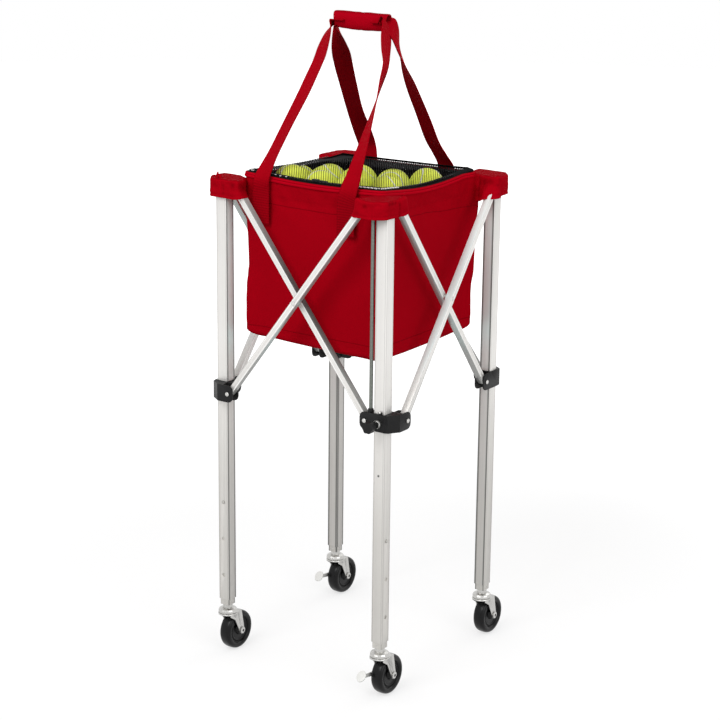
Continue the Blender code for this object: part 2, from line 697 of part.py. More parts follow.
def main():
    clear_scene()
    aluminium = material("anodised_aluminium", (0.78, 0.77, 0.75), 0.38, 0.85)
    inner_aluminium = material("inner_tube_aluminium", (0.74, 0.73, 0.70), 0.40, 0.85)
    spring_steel = material("spring_steel", (0.70, 0.70, 0.70), 0.30, 1.0)
    black_plastic = material("black_moulded_nylon", (0.014, 0.014, 0.015), 0.45)
    zinc = material("bright_zinc", (0.80, 0.80, 0.79), 0.22, 1.0)
    rubber = material("black_wheel_rubber", (0.010, 0.010, 0.011), 0.32)
    pale_tab = material("pale_brake_tab", (0.80, 0.81, 0.80), 0.35)
    grey_rod = material("grey_rod", (0.35, 0.36, 0.34), 0.40, 0.6)
    red_cloth = material("red_bag_cloth", (0.42, 0.005, 0.016), 0.78)
    red_piping = material("red_piping", (0.47, 0.006, 0.022), 0.70)
    red_webbing = material("red_webbing", (0.38, 0.004, 0.014), 0.80)
    red_grip = material("red_grip_wrap", (0.50, 0.002, 0.036), 0.72)
    black_net = material("black_net", (0.012, 0.012, 0.012), 0.85)

    outer, inner, clip = outer_leg(), inner_leg(), snap_clip()
    lower = bracket(LOW_PIVOT, "x")
    upper = bracket(HIGH_PIVOT, "y", LEG_TOP)
    stem, fork, disc = caster_stem(), caster_fork(), wheel()
    short_axle, long_axle = axle(FORK_OUT), axle(FORK_OUT + GAP + 0.0022)
    lever = brake_lever()
    hub = (0, TRAIL, WHEEL_R)
    for k, (name, sx, sy) in enumerate(CORNERS):
        turned_corner = bpy.data.objects.new("corner_" + name, None)
        turned_corner.location = (sx * LEG_SPREAD, sy * LEG_SPREAD, 0)
        turned_corner.rotation_euler = (0, 0, k * pi / 2)
        plain_corner = bpy.data.objects.new("caster_place_" + name, None)
        plain_corner.location = (sx * LEG_SPREAD, sy * LEG_SPREAD, 0)
        for empty in (turned_corner, plain_corner):
            bpy.context.scene.collection.objects.link(empty)
        place("leg_outer_" + name, outer, aluminium, turned_corner)
        place("leg_inner_" + name, inner, inner_aluminium, turned_corner)
        place("snap_clip_" + name, shifted(clip, (0, 0, BUTTON_Z)), spring_steel, turned_corner,
              (0, 0, BUTTON_Z), 35)
        place("slider_" + name, lower, black_plastic, turned_corner, smooth=35)
        place("top_bracket_" + name, upper, black_plastic, turned_corner, smooth=35)
        place("caster_stem_" + name, stem, zinc, plain_corner, smooth=35)
        place("caster_fork_" + name, fork, zinc, plain_corner, smooth=35)
        place("wheel_" + name, disc, rubber, plain_corner, hub, 40)
        braked = name in ("front_right", "rear_left")
        place("axle_" + name, long_axle if braked else short_axle, zinc, plain_corner, hub, 35)
        if braked:
            place("brake_lever_" + name, shifted(lever, hub), pale_tab, plain_corner, hub, 35)
        if name == "front_right":
            front = bpy.data.objects.new("lock_place", None)
            front.location = (sx * LEG_SPREAD, sy * LEG_SPREAD, 0)
            bpy.context.scene.collection.objects.link(front)
            place("lock_rod", lock_rod(), grey_rod, front, smooth=35)
            place("lock_knob", lock_knob(), black_plastic, front, (0, 0, LOW_PIVOT - 0.001), 35)

    near, far = -LEG_SPREAD + PIVOT_REACH, LEG_SPREAD - PIVOT_REACH
    outer_bar = bar(near, LOW_PIVOT, far, HIGH_PIVOT, OUTER_BAR)
    inner_bar = bar(near, HIGH_PIVOT, far, LOW_PIVOT, INNER_BAR)
    pivot = crossing_pivot()
    for k, side in enumerate(SIDES):
        frame = bpy.data.objects.new("side_" + side, None)
        frame.rotation_euler = (0, 0, k * pi / 2)
        bpy.context.scene.collection.objects.link(frame)
        place("bar_outer_" + side, outer_bar, aluminium, frame)
        place("bar_inner_" + side, inner_bar, aluminium, frame)
        place("bar_pivot_" + side, pivot, zinc, frame, smooth=35)

    place("bag_shell", bag_shell(), red_cloth)
    piping = ring(bag_half(BAG_RIM) - 0.0008, BAG_CORNER - 0.0008, PIPING_R, BAG_RIM + GAP + PIPING_R, "piping")
    place("bag_piping", piping, red_piping, smooth=50)
    place("mesh_lid", mesh_lid(), black_net, smooth=50)
    place("zip_pull", zip_pull(), black_plastic)
    front_strap = strap()
    place("handle_strap_front", front_strap, red_webbing)
    rear_strap = front_strap.copy()
    rear_strap.transform(Matrix.Rotation(pi, 4, "Z"))
    place("handle_strap_rear", rear_strap, red_webbing)
    place("grip_wrap", grip(), red_grip, smooth=40)


main()
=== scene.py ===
import math
import random

import bmesh
import bpy
from mathutils import Matrix, Vector, noise


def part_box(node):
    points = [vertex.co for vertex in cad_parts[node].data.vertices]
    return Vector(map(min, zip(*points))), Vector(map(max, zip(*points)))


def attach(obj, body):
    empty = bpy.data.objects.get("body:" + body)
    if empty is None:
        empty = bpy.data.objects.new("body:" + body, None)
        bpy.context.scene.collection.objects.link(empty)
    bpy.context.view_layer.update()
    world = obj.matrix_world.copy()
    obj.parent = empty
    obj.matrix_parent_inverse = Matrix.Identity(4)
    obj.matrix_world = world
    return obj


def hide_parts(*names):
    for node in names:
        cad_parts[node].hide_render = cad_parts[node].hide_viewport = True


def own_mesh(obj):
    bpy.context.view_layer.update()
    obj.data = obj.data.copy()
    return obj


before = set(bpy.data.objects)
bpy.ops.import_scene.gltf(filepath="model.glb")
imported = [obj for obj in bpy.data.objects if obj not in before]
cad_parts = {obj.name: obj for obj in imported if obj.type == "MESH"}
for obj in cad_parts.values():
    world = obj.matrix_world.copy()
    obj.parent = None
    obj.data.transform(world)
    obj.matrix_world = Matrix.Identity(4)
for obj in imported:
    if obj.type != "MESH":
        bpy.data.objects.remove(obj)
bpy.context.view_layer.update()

chance = random.Random(11)
corners = ["front_left", "front_right", "rear_right", "rear_left"]
sides = ["front", "right", "rear", "left"]
print("frame loaded:", len(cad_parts), "nodes")


class Wire:
    # one output socket of a material; sums on it add Math nodes
    def __init__(self, shader, socket):
        self.shader = shader
        self.socket = socket

    def math(self, operation, *others):
        return self.shader.math(operation, self, *others)

    def __add__(self, other):
        return self.shader.math("ADD", self, other)

    def __sub__(self, other):
        return self.shader.math("SUBTRACT", self, other)

    def __rsub__(self, other):
        return self.shader.math("SUBTRACT", other, self)

    def __mul__(self, other):
        return self.shader.math("MULTIPLY", self, other)

    def __truediv__(self, other):
        return self.shader.math("DIVIDE", self, other)

    def __pow__(self, other):
        return self.shader.math("POWER", self, other)

    __radd__ = __add__
    __rmul__ = __mul__


class Shader:
    # a material or a world, and the one way in which its nodes are added
    def __init__(self, name, holder=None):
        self.material = holder or bpy.data.materials.new(name)
        self.material.use_nodes = True
        self.tree = self.material.node_tree
        self.tree.nodes.clear()

    def node(self, kind, settings=None, inputs=None, output=0):
        made = self.tree.nodes.new(kind)
        for name, value in (settings or {}).items():
            if name == "stops":
                ramp = made.color_ramp
                while len(ramp.elements) < len(value):
                    ramp.elements.new(0.5)
                for stop, (place, colour) in zip(ramp.elements, value):
                    stop.position = place
                    stop.color = colour
            else:
                setattr(made, name, value)
        for key, value in (inputs or {}).items():
            if isinstance(value, Wire):
                self.tree.links.new(value.socket, made.inputs[key])
            else:
                made.inputs[key].default_value = value
        return Wire(self, made.outputs[output]) if made.outputs else None

    def math(self, operation, *values):
        return self.node("ShaderNodeMath", {"operation": operation}, dict(enumerate(values)))

    def away(self, value, middle=0.0):
        # how far a value lies from the middle, on either side
        return self.math("ABSOLUTE", value - middle if middle else value)

    def least(self, first, *others):
        for other in others:
            first = self.math("MINIMUM", first, other)
        return first

    def wave(self, value, pitch, kind="SINE"):
        # from 0 to 1 and back within each pitch
        return self.math(kind, value * (2 * math.pi / pitch)) * 0.5 + 0.5

    def attribute(self, name):
        return self.node("ShaderNodeAttribute", {"attribute_name": name}, None, "Fac")

    def place(self, scale):
        # object coordinates in metres, scaled by a Mapping node
        spot = self.node("ShaderNodeTexCoord", output="Object")
        return self.node("ShaderNodeMapping", None, {"Vector": spot, "Scale": scale})

    def split(self, vector):
        return [self.node("ShaderNodeSeparateXYZ", None, {0: vector}, axis) for axis in range(3)]

    def axes(self, kind="Object"):
        # x, y and z as three numbers: metres for Object, the way a face points for Normal
        return self.split(self.node("ShaderNodeTexCoord", output=kind))

    def cloud(self, scale, detail=3.0, roughness=0.55):
        # noise of one scale, or of three where it is drawn out along an axis
        drawn = isinstance(scale, tuple)
        inputs = {"Vector": self.place(scale if drawn else (1, 1, 1)), "Scale": 1.0 if drawn else scale}
        return self.node("ShaderNodeTexNoise", None, {**inputs, "Detail": detail, "Roughness": roughness})

    def ramp(self, value, low, high):
        inputs = {0: value, 1: low, 2: high}
        return self.node("ShaderNodeMapRange", {"interpolation_type": "SMOOTHSTEP"}, inputs)

    def blend(self, factor, first, second, how="MIX"):
        inputs = {0: factor, 6: first, 7: second}
        return self.node("ShaderNodeMix", {"data_type": "RGBA", "blend_type": how}, inputs, 2)

    def bump(self, height, strength=0.4, distance=0.001, normal=None):
        inputs = {"Height": height, "Strength": strength, "Distance": distance}
        if normal:
            inputs["Normal"] = normal
        return self.node("ShaderNodeBump", None, inputs)

    def surface(self, tint, rough, normal=None, shine=0.5, **inputs):
        # the closing Principled shader; an underscore stands for a space in a socket's name
        sockets = {name.replace("_", " "): value for name, value in inputs.items()}
        sockets.update({"Base Color": tint, "Roughness": rough, "Specular IOR Level": shine})
        if normal:
            sockets["Normal"] = normal
        gloss = self.node("ShaderNodeBsdfPrincipled", None, sockets)
        self.node("ShaderNodeOutputMaterial", None, {"Surface": gloss})
        return self.material


def rgb(red, green, blue):
    # a screen colour from 0 to 255 as the linear colour that a socket takes
    def linear(level):
        level = level / 255
        return level / 12.92 if level <= 0.04045 else ((level + 0.055) / 1.055) ** 2.4
    return (linear(red), linear(green), linear(blue), 1.0)


metalLook = {
    "tube": rgb(238, 236, 233), "tubeWearAndShade": rgb(208, 205, 199), "tubeRoughness": 0.40,
    "tubeMetal": 0.42, "tubeShine": 0.3,
    "inner": rgb(238, 236, 231), "innerWearAndShade": rgb(206, 203, 197),
    "inside": rgb(231, 247, 244),        # painted light: faces turned to the cloth, tinted cool against the red light from it and lifted against their shade
    "upperPaintedLight": rgb(232, 242, 240),         # painted light: upper faces of the rising bars beside the bag
    "crossingShade": rgb(88, 91, 89),         # painted shade on the upper faces of the falling bars where they pass the others
    # painted shade on the upper faces of the falling bars
    "fallingShade": rgb(138, 140, 137),
    "barHighlight": rgb(255, 255, 253),       # painted highlight: a bright line along a bar
    "undersideShade": rgb(190, 203, 200),     # painted shade on the lower faces of the crossed bars, beside the bag and below it
    "underLowShade": rgb(176, 177, 174),
    "edgeShade": rgb(84, 86, 84),         # painted shade: dark line beside a rounded edge
    "legAxis": 0.176, "legHalf": 0.0115,
    "crossingHeight": 0.722,
    "barMiddle": 0.718, "barSlope": (0.794, 0.608),      # cosine and sine of a bar's lean
    "zinc": rgb(176, 175, 172), "zincBright": rgb(214, 213, 210), "zincRoughness": 0.30,
}


def tubeGrain(mat, colour, wearAndShade, z):
    # drawn lines, handling marks and specks, and painted shade: the tubes grow darker towards the floor
    streaks = mat.cloud((900, 900, 9), 4.0)
    bands = mat.cloud((210, 210, 1.5), 2.0)
    patches = mat.cloud(14.0)
    specks = mat.ramp(mat.cloud(420.0, 2.0), 0.66, 0.74)
    # painted shade: darker the lower the tube
    low = mat.ramp(z, 0.62, 0.22)
    tint = mat.blend(patches * 0.3 + specks * 0.25 + bands * 0.25 + low * 0.5 - 0.1, colour, wearAndShade)
    rough = metalLook["tubeRoughness"] + (streaks - 0.5) * 0.14 + (patches - 0.5) * 0.10
    return tint, rough, mat.bump(streaks * 0.6 + specks * 0.4, 0.10, 0.0002)


def legAluminium(name, colour, wearAndShade):
    mat = Shader(name)
    look = metalLook
    half = look["legHalf"]
    x, y, z = mat.axes()
    nx, ny, nz = mat.axes("Normal")
    tint, rough, normal = tubeGrain(mat, colour, wearAndShade, z)
    beside = mat.least(*[mat.away(mat.away(side), look["legAxis"]) for side in (x, y)])
    # painted shade: dark lines beside the tube's edges
    line = mat.ramp(beside, half - 0.0050, half - 0.0032) * mat.ramp(beside, half - 0.0002, half - 0.0010)
    thinEdgeShade = mat.ramp(mat.away(beside, half - 0.0022), 0.0007, 0.0002)
    near = mat.ramp(z, 0.565, 0.635) * (mat.ramp(z, 0.90, 0.80) * 0.7 + 0.3)      # beside the bag's walls, where the faces get painted light
    inward = mat.ramp((nx * x + ny * y) * -5.7, 0.2, 0.5)
    bands = mat.cloud((420, 420, 1.2), 2.0)
    # painted light on the faces turned to the cloth
    tint = mat.blend(inward * near, tint, look["inside"])
    tint = mat.blend(inward * mat.ramp(bands, 0.50, 0.70) * 0.35, tint, look["innerWearAndShade"])
    tint = mat.blend(mat.math("MAXIMUM", line * inward * 0.80, thinEdgeShade * 0.35), tint, look["edgeShade"])
    return mat.surface(tint, rough, normal, look["tubeShine"], Metallic=look["tubeMetal"] - inward * 0.30)


def barAluminium(name, colour, wearAndShade):
    mat = Shader(name)
    look = metalLook
    x, y, z = mat.axes()
    nx, ny, nz = mat.axes("Normal")
    tint, rough, normal = tubeGrain(mat, colour, wearAndShade, z)
    near = mat.ramp(z, 0.575, 0.645) * (mat.ramp(z, 0.90, 0.80) * 0.6 + 0.4)
    upper = mat.ramp(nz, 0.15, 0.40)
    fallingShade = upper * mat.ramp(mat.away(nx), 0.4, 0.7)
    streaks = mat.cloud((160, 160, 60), 3.0)
    # painted light on the upper faces beside the bag
    tint = mat.blend(upper * near, tint, mat.blend(mat.ramp(ny, -0.6, -0.2), look["upperPaintedLight"], look["inside"]))
    # painted shade on the upper faces of the falling bars
    tint = mat.blend(fallingShade * 0.8, tint, look["fallingShade"])
    # painted shade where the bars pass each other
    crossingShade = mat.ramp(mat.away(z, look["crossingHeight"]), 0.175, 0.020)
    tint = mat.blend(fallingShade * crossingShade * (streaks * 0.4 + 0.72), tint, look["crossingShade"])
    # painted shade on the faces that look down
    tint = mat.blend(mat.ramp(nz, -0.15, -0.40), tint, mat.blend(near, look["underLowShade"], look["undersideShade"]))
    # how far a spot lies from the middle line of the bar that it is on
    cosine, sine = look["barSlope"]
    off = (z - look["barMiddle"]) * sine
    middle = mat.least(*[mat.away(side * cosine + way * off) for side in (x, y) for way in (1, -1)])
    face = mat.ramp(mat.away(nz), 0.12, 0.04)
    # painted shade beside the bar's edges
    tint = mat.blend(face * mat.ramp(middle, 0.0046, 0.0053) * 0.35, tint, look["edgeShade"])
    # painted highlight along the bar's faces
    tint = mat.blend(face * mat.ramp(mat.away(middle, 0.0036), 0.0010, 0.0004), tint, look["barHighlight"])
    return mat.surface(tint, rough, normal, look["tubeShine"], Metallic=look["tubeMetal"] - upper * 0.28)


def plainFinish(name, scale, dark, light, rough, swing=0.0, bump=0.0, deep=0.0002, **more):
    # one fine cloud varies the colour, the roughness and the height
    mat = Shader(name)
    fine = mat.cloud(scale)
    tint = mat.blend(fine, rgb(*dark), rgb(*light))
    if swing:
        rough = fine * swing + rough
    return mat.surface(tint, rough, bump and mat.bump(fine, bump, deep), **more)


def blackNylon():
    mat = Shader("blackNylon")
    fine = mat.cloud(2600.0, 2.0)
    soft = mat.cloud(60.0)
    scuff = mat.ramp(mat.cloud(190.0, 6.0, 0.7), 0.62, 0.80)
    tint = mat.blend(soft * 0.5 + scuff * 0.35, rgb(20, 20, 21), rgb(46, 46, 46))
    rough = 0.40 + fine * 0.12 + scuff * 0.12
    return mat.surface(tint, rough, mat.bump(fine + soft * 0.5, 0.22, 0.0002), 0.16)


def brightZinc():
    mat = Shader("brightZinc")
    brushed = mat.cloud((1500, 1500, 60), 4.0)
    cloudy = mat.cloud(45.0, 4.0)
    tint = mat.blend(cloudy, metalLook["zinc"], metalLook["zincBright"])
    rough = metalLook["zincRoughness"] + (brushed - 0.5) * 0.22 + (cloudy - 0.5) * 0.2
    return mat.surface(tint, rough, mat.bump(brushed, 0.14, 0.0002), Metallic=0.95)


def wheelBlack():
    mat = Shader("wheelBlack")
    fine = mat.cloud(900.0)
    dust = mat.ramp(mat.cloud(70.0, 5.0), 0.52, 0.78)
    tint = mat.blend(dust * 0.4, rgb(8, 8, 9), rgb(30, 29, 28))
    return mat.surface(tint, 0.26 + dust * 0.20 + fine * 0.06, mat.bump(fine, 0.08, 0.0003), 0.22)


def greyRod():
    mat = Shader("greyRod")
    x, y, z = mat.axes()
    ribs = mat.wave(z, 0.0024)
    drawn = mat.cloud((1400, 1400, 12), 3.0)
    tint = mat.blend(drawn * 0.4 + ribs * 0.4, rgb(92, 96, 91), rgb(140, 145, 138))
    return mat.surface(tint, 0.30 + drawn * 0.14, mat.bump(ribs, 0.5, 0.0006), Metallic=0.85)


clothLook = {
    "red": rgb(187, 3, 25), "redDeep": rgb(158, 2, 18), "redBright": rgb(198, 4, 32),
    "redShade": rgb(104, 1, 9), "redTopShade": rgb(142, 2, 16),
    "thread": 0.00085,          # pitch of the woven threads
    "sheen": 0.004, "sheenTint": rgb(255, 60, 80),
    "hemBelow": 0.0505, "hemLean": 0.11, "footSeamAt": 0.6475,
}


def wovenHeight(mat, pitch):
    # over and under of a plain weave from three crossed waves, so that it lies right on every wall
    x, y, z = mat.axes()
    step = 2 * math.pi / pitch
    return mat.math("SINE", (x + y) * step) * mat.math("SINE", z * step) * 0.5 + 0.5


def redCloth(name, base, deep, pitch, rough=0.62, weave=0.30):
    mat = Shader(name)
    look = clothLook
    threads = wovenHeight(mat, pitch)
    slub = mat.cloud((260, 260, 2100), 3.0)
    wash = mat.cloud(9.0, 4.0)
    tint = mat.blend(wash * 0.45 + slub * 0.22 + threads * 0.12, deep, base)
    nx, ny, nz = mat.axes("Normal")
    x, y, z = mat.axes()
    # painted shade: faces that look up are darker
    tint = mat.blend(mat.ramp(nz, 0.45, 0.90) * 0.8, tint, look["redTopShade"])
    # folds that hold shade, and two sewn lines on the bag's walls: its map counts down from the rim
    tint = mat.blend(mat.attribute("crease"), tint, look["redShade"])
    down = mat.attribute("fromRim")
    hem = mat.away(down + look["hemBelow"] + mat.math("MAXIMUM", y, 0.0) * look["hemLean"])
    foot = mat.away(z, look["footSeamAt"]) + mat.ramp(down, -0.02, -0.01)
    sewn = mat.ramp(mat.least(hem, foot), 0.0011, 0.0004)
    tint = mat.blend(sewn * 0.55, tint, look["redShade"])
    normal = mat.bump(threads + slub * 0.6 - sewn * 1.5, weave, 0.0004)
    normal = mat.bump(mat.cloud(55.0, 4.0), 0.16, 0.004, normal)
    rough = rough + (threads - 0.5) * 0.1 + (wash - 0.5) * 0.08
    sheen = {"Sheen_Weight": look["sheen"], "Sheen_Roughness": 0.45, "Sheen_Tint": look["sheenTint"]}
    return mat.surface(tint, rough, normal, 0.005, **sheen)


def ribbedWebbing(name, base, deep):
    # across-ribs follow the strap's own map: u runs across it, v along it in metres
    mat = Shader(name)
    look = clothLook
    u, v, flat = mat.split(mat.node("ShaderNodeUVMap", {"uv_map": "strapMap"}))
    ribs = mat.wave(v, 0.0021)
    twill = mat.wave(v + u * 0.6, 0.0009)
    edge = mat.away(u)
    selvedge = mat.ramp(edge, 0.0150, 0.0172)
    dashes = mat.ramp(mat.math("SINE", v * (2 * math.pi / 0.0042)), -0.1, 0.4)
    stitch = mat.ramp(mat.away(edge, 0.0146), 0.0009, 0.0003) * dashes
    wash = mat.cloud(12.0, 4.0)
    tint = mat.blend(wash * 0.5 + ribs * 0.28 - selvedge * 0.2 + stitch * 0.5, deep, base)
    nx, ny, nz = mat.axes("Normal")
    tint = mat.blend(mat.ramp(nz, -0.05, -0.32) * 0.85, tint, look["redShade"])
    # coarse ribs show where the strap is sewn to the bag
    x, y, z = mat.axes()
    tint = mat.blend(mat.ramp(z, 0.930, 0.905) * (mat.wave(v, 0.0046) * 0.40 + 0.12), tint, look["redShade"])
    normal = mat.bump(ribs * 0.7 + twill * 0.3 + stitch * 1.4, 0.5, 0.0005)
    rough = 0.66 - ribs * 0.08
    sheen = {"Sheen_Weight": look["sheen"], "Sheen_Roughness": 0.5, "Sheen_Tint": look["sheenTint"]}
    return mat.surface(tint, rough, normal, 0.01, **sheen)


def blackWeb():
    mat = Shader("blackWeb")
    threads = wovenHeight(mat, 0.0021)
    tint = mat.blend(threads, rgb(8, 8, 9), rgb(24, 24, 25))
    return mat.surface(tint, 0.8, mat.bump(threads, 0.35, 0.0005), 0.05)


netLook = {"pitchX": 0.0041, "pitchY": 0.0026, "open": 0.60, "stretched": 0.34, "turn": 0.6086}


def netMaterial():
    # open mesh: columns of small holes, each column turned a third of a right angle from the bag's sides
    mat = Shader("blackNet")
    look = netLook
    x, y, z = mat.axes()
    cosine, sine, whole = math.cos(look["turn"]), math.sin(look["turn"]), 2 * math.pi
    across, along = x * cosine + y * sine, y * cosine - x * sine
    ribs = mat.wave(across, look["pitchX"], "COSINE")
    shift = mat.math("SINE", across * (whole / look["pitchX"] / 2)) * 1.6
    ties = mat.math("COSINE", along * (whole / look["pitchY"]) + shift) * 0.5 + 0.5
    # the balls that press from below pull its holes open over the front half
    behind = y - mat.math("MAXIMUM", x - 0.05, 0.0) * 0.9 + mat.math("SINE", x * 40) * 0.006
    closed = mat.ramp(x, -0.099, -0.108)
    wider = mat.ramp(behind, 0.050, 0.022) * look["stretched"] - closed * 0.7
    cords = mat.math("MAXIMUM", ribs + 0.05, ties - 0.12) - wider
    cover = mat.ramp(cords, look["open"] - 0.1, look["open"] + 0.1)
    tint = mat.blend(mat.cloud(35.0, 2.0), rgb(4, 4, 5), rgb(14, 14, 15))
    return mat.surface(tint, 0.75, mat.bump(cover, 0.3, 0.0006), 0.06, Alpha=cover)


def ballFelt():
    mat = Shader("ballFelt")
    fuzz = mat.cloud(900.0, 4.0)
    soft = mat.cloud(60.0)
    tint = mat.blend(fuzz * 0.5 + soft * 0.4, rgb(222, 236, 60), rgb(248, 255, 118))
    return mat.surface(tint, 0.95, mat.bump(fuzz, 0.6, 0.0012), 0.1, Sheen_Weight=0.5, Sheen_Roughness=0.5,
                       Sheen_Tint=rgb(240, 250, 160))


finishes = {
    "anodised_aluminium": legAluminium("anodisedAluminium", metalLook["tube"], metalLook["tubeWearAndShade"]),
    "bar_aluminium": barAluminium("barAluminium", metalLook["tube"], metalLook["tubeWearAndShade"]),
    "inner_aluminium": legAluminium("innerAluminium", metalLook["inner"], metalLook["innerWearAndShade"]),
    "spring_steel": plainFinish("springSteel", 2000.0, (150, 148, 144), (205, 203, 198), 0.28, 0.12,
                                Metallic=1.0),
    "black_nylon": blackNylon(),
    "bright_zinc": brightZinc(),
    "dull_zinc": plainFinish("dullZinc", 600.0, (20, 20, 21), (44, 44, 45), 0.45, 0.1, 0.08, Metallic=0.5),
    "wheel_black": wheelBlack(),
    "pale_tab": plainFinish("paleTab", 700.0, (232, 232, 228), (246, 246, 243), 0.42, 0.1, 0.1),
    "grey_rod": greyRod(),
    "red_cloth": redCloth("redCloth", clothLook["red"], clothLook["redDeep"], clothLook["thread"]),
    "red_piping": redCloth("redPiping", clothLook["redBright"], clothLook["red"], 0.0014, 0.55, 0.4),
    "red_webbing": ribbedWebbing("redWebbing", clothLook["red"], clothLook["redDeep"]),
    "red_grip": redCloth("redGrip", clothLook["redBright"], clothLook["redDeep"], 0.0019, 0.7, 0.5),
    "black_net": netMaterial(),
    "black_web": blackWeb(),
    "ball_felt": ballFelt(),
    "seam_rubber": plainFinish("seamRubber", 500.0, (206, 208, 196), (232, 233, 224), 0.6, 0.0, 0.1, 0.0003),
}
print("finishes made:", len(finishes))

# the finish of each node, by the words that its name starts with; the rest of a name is its corner or side
nodeFinish = {
    "leg_outer": "anodised_aluminium", "leg_inner": "inner_aluminium", "bar_pivot": "bright_zinc",
    "bar_": "bar_aluminium", "snap_clip": "spring_steel", "slider": "black_nylon", "top_bracket": "black_nylon",
    "lock_knob": "black_nylon", "lock_rod": "grey_rod", "axle": "bright_zinc", "caster": "bright_zinc",
    "wheel": "wheel_black", "brake_lever": "pale_tab", "bag_shell": "red_cloth", "bag_piping": "red_piping",
    "mesh_lid": "black_net", "zip_pull": "dull_zinc", "handle_strap": "red_webbing", "grip_wrap": "red_grip",
}


def slotOf(node):
    return next(slot for start, slot in nodeFinish.items() if node.startswith(start))


for name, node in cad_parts.items():
    node.data.materials.clear()
    node.data.materials.append(finishes[slotOf(name)])


# camera, stage and lamps
viewLook = {"place": (2.096, -3.0035, 1.5863), "azimuth": 0.6086, "pitch": 0.2708, "roll": 0.0105, "lens": 101.665}


def setCamera():
    data = bpy.data.cameras.new("photoCamera")
    data.sensor_width = 36.0
    data.lens = viewLook["lens"]
    data.dof.use_dof = False
    camera = bpy.data.objects.new("photoCamera", data)
    bpy.context.scene.collection.objects.link(camera)
    turn = Matrix.Rotation(viewLook["azimuth"], 3, "Z") @ Matrix.Rotation(math.pi / 2 - viewLook["pitch"], 3, "X")
    camera.location = viewLook["place"]
    camera.rotation_euler = (turn @ Matrix.Rotation(viewLook["roll"], 3, "Z")).to_euler()
    bpy.context.scene.camera = camera


lampLook = {
    "key": {"place": (-0.1, -3.6, 3.7), "aim": (0, 0, 0.75), "power": 82.0, "size": 2.4},
    "fill": {"place": (4.0, -1.4, 2.4), "aim": (0, 0, 0.75), "power": 46.0, "size": 3.0},
    "back": {"place": (0.6, 3.6, 3.0), "aim": (0, 0, 0.9), "power": 24.0, "size": 2.6},
    "ambient": 0.66,
    "floorLift": 0.66, "farLift": 0.5, "floor": (0.36, 0.36, 0.36, 1),
}


def seenDirectly(shader):
    # 1 for what the camera sees itself, in a mirror or through clear parts
    seen, glossy, clear = (shader.node("ShaderNodeLightPath", output=kind + " Ray")
                           for kind in ("Is Camera", "Is Glossy", "Is Transmission"))
    return shader.math("MINIMUM", seen + glossy + clear, 1.0)


def setLamps():
    for name in ("key", "fill", "back"):
        look = lampLook[name]
        data = bpy.data.lights.new(name + "Lamp", "AREA")
        data.shape = "DISK"
        data.size = look["size"]
        data.energy = look["power"]
        lamp = bpy.data.objects.new(name + "Lamp", data)
        bpy.context.scene.collection.objects.link(lamp)
        lamp.location = look["place"]
        lamp.rotation_euler = (Vector(look["aim"]) - Vector(look["place"])).to_track_quat("-Z", "Y").to_euler()
    sky = Shader("studio", bpy.data.worlds.new("studio"))
    bpy.context.scene.world = sky.material
    strength = seenDirectly(sky) * (1.0 - lampLook["ambient"]) + lampLook["ambient"]
    glow = sky.node("ShaderNodeBackground", None, {"Color": (1, 1, 1, 1), "Strength": strength})
    sky.node("ShaderNodeOutputWorld", None, {"Surface": glow})


def setFloor():
    bm = bmesh.new()
    bmesh.ops.create_circle(bm, cap_ends=True, segments=96, radius=9.0)
    mesh = bpy.data.meshes.new("floor")
    bm.to_mesh(mesh)
    bm.free()
    floor = bpy.data.objects.new("floor", mesh)
    bpy.context.scene.collection.objects.link(floor)
    floor.location.z = -0.0004
    mat = Shader("paleFloor")
    x, y, z = mat.axes()
    away = mat.math("SQRT", x * x + y * y)
    lift = seenDirectly(mat) * (lampLook["floorLift"] + mat.ramp(away, 0.7, 3.0) * lampLook["farLift"])
    paint = mat.node("ShaderNodeBsdfDiffuse", None, {"Color": lampLook["floor"]})
    glow = mat.node("ShaderNodeEmission", None, {"Color": (1, 1, 1, 1), "Strength": lift})
    both = mat.node("ShaderNodeAddShader", None, {0: paint, 1: glow})
    mat.node("ShaderNodeOutputMaterial", None, {"Surface": both})
    mesh.materials.append(mat.material)


setCamera()
setLamps()
setFloor()
bpy.context.scene.view_settings.view_transform = "Standard"
print("camera, lamps and floor set")


# sums and tables
def clip(value):
    return min(max(value, 0.0), 1.0)


def ease(value):
    # from 0 to 1 without a kink at either end
    value = clip(value)
    return value * value * (3 - 2 * value)


def bell(gap, wide, power=2):
    # 1 in the middle and next to nothing past the width
    return math.exp(-(gap / wide) ** power)


def metres(rows):
    # the tables of places are written in millimetres
    return [tuple(number / 1000 for number in row) for row in rows]


def curvePoint(points, share, closed=False):
    # a place on a smooth line through the given points
    last = len(points) - 1
    place = share % 1.0 * (last + 1) if closed else clip(share) * last
    i = int(place) if closed else min(int(place), last - 1)
    s = place - i
    near = [points[(i + k) % (last + 1) if closed else min(max(i + k, 0), last)] for k in (-1, 0, 1, 2)]
    return [0.5 * (2 * q + (r - p) * s + (2 * p - 5 * q + 4 * r - t) * s * s + (3 * q - p - 3 * r + t) * s ** 3)
            for p, q, r, t in zip(*near)]


def addPiece(name, bm, body, materials, replaces=(), flat=False):
    mesh = bpy.data.meshes.new(name)
    bm.to_mesh(mesh)
    bm.free()
    piece = bpy.data.objects.new(name, mesh)
    bpy.context.scene.collection.objects.link(piece)
    for material in materials:
        mesh.materials.append(finishes[material])
    for face in mesh.polygons:
        face.use_smooth = not flat
    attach(piece, body)
    if replaces:
        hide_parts(*replaces)
    return piece


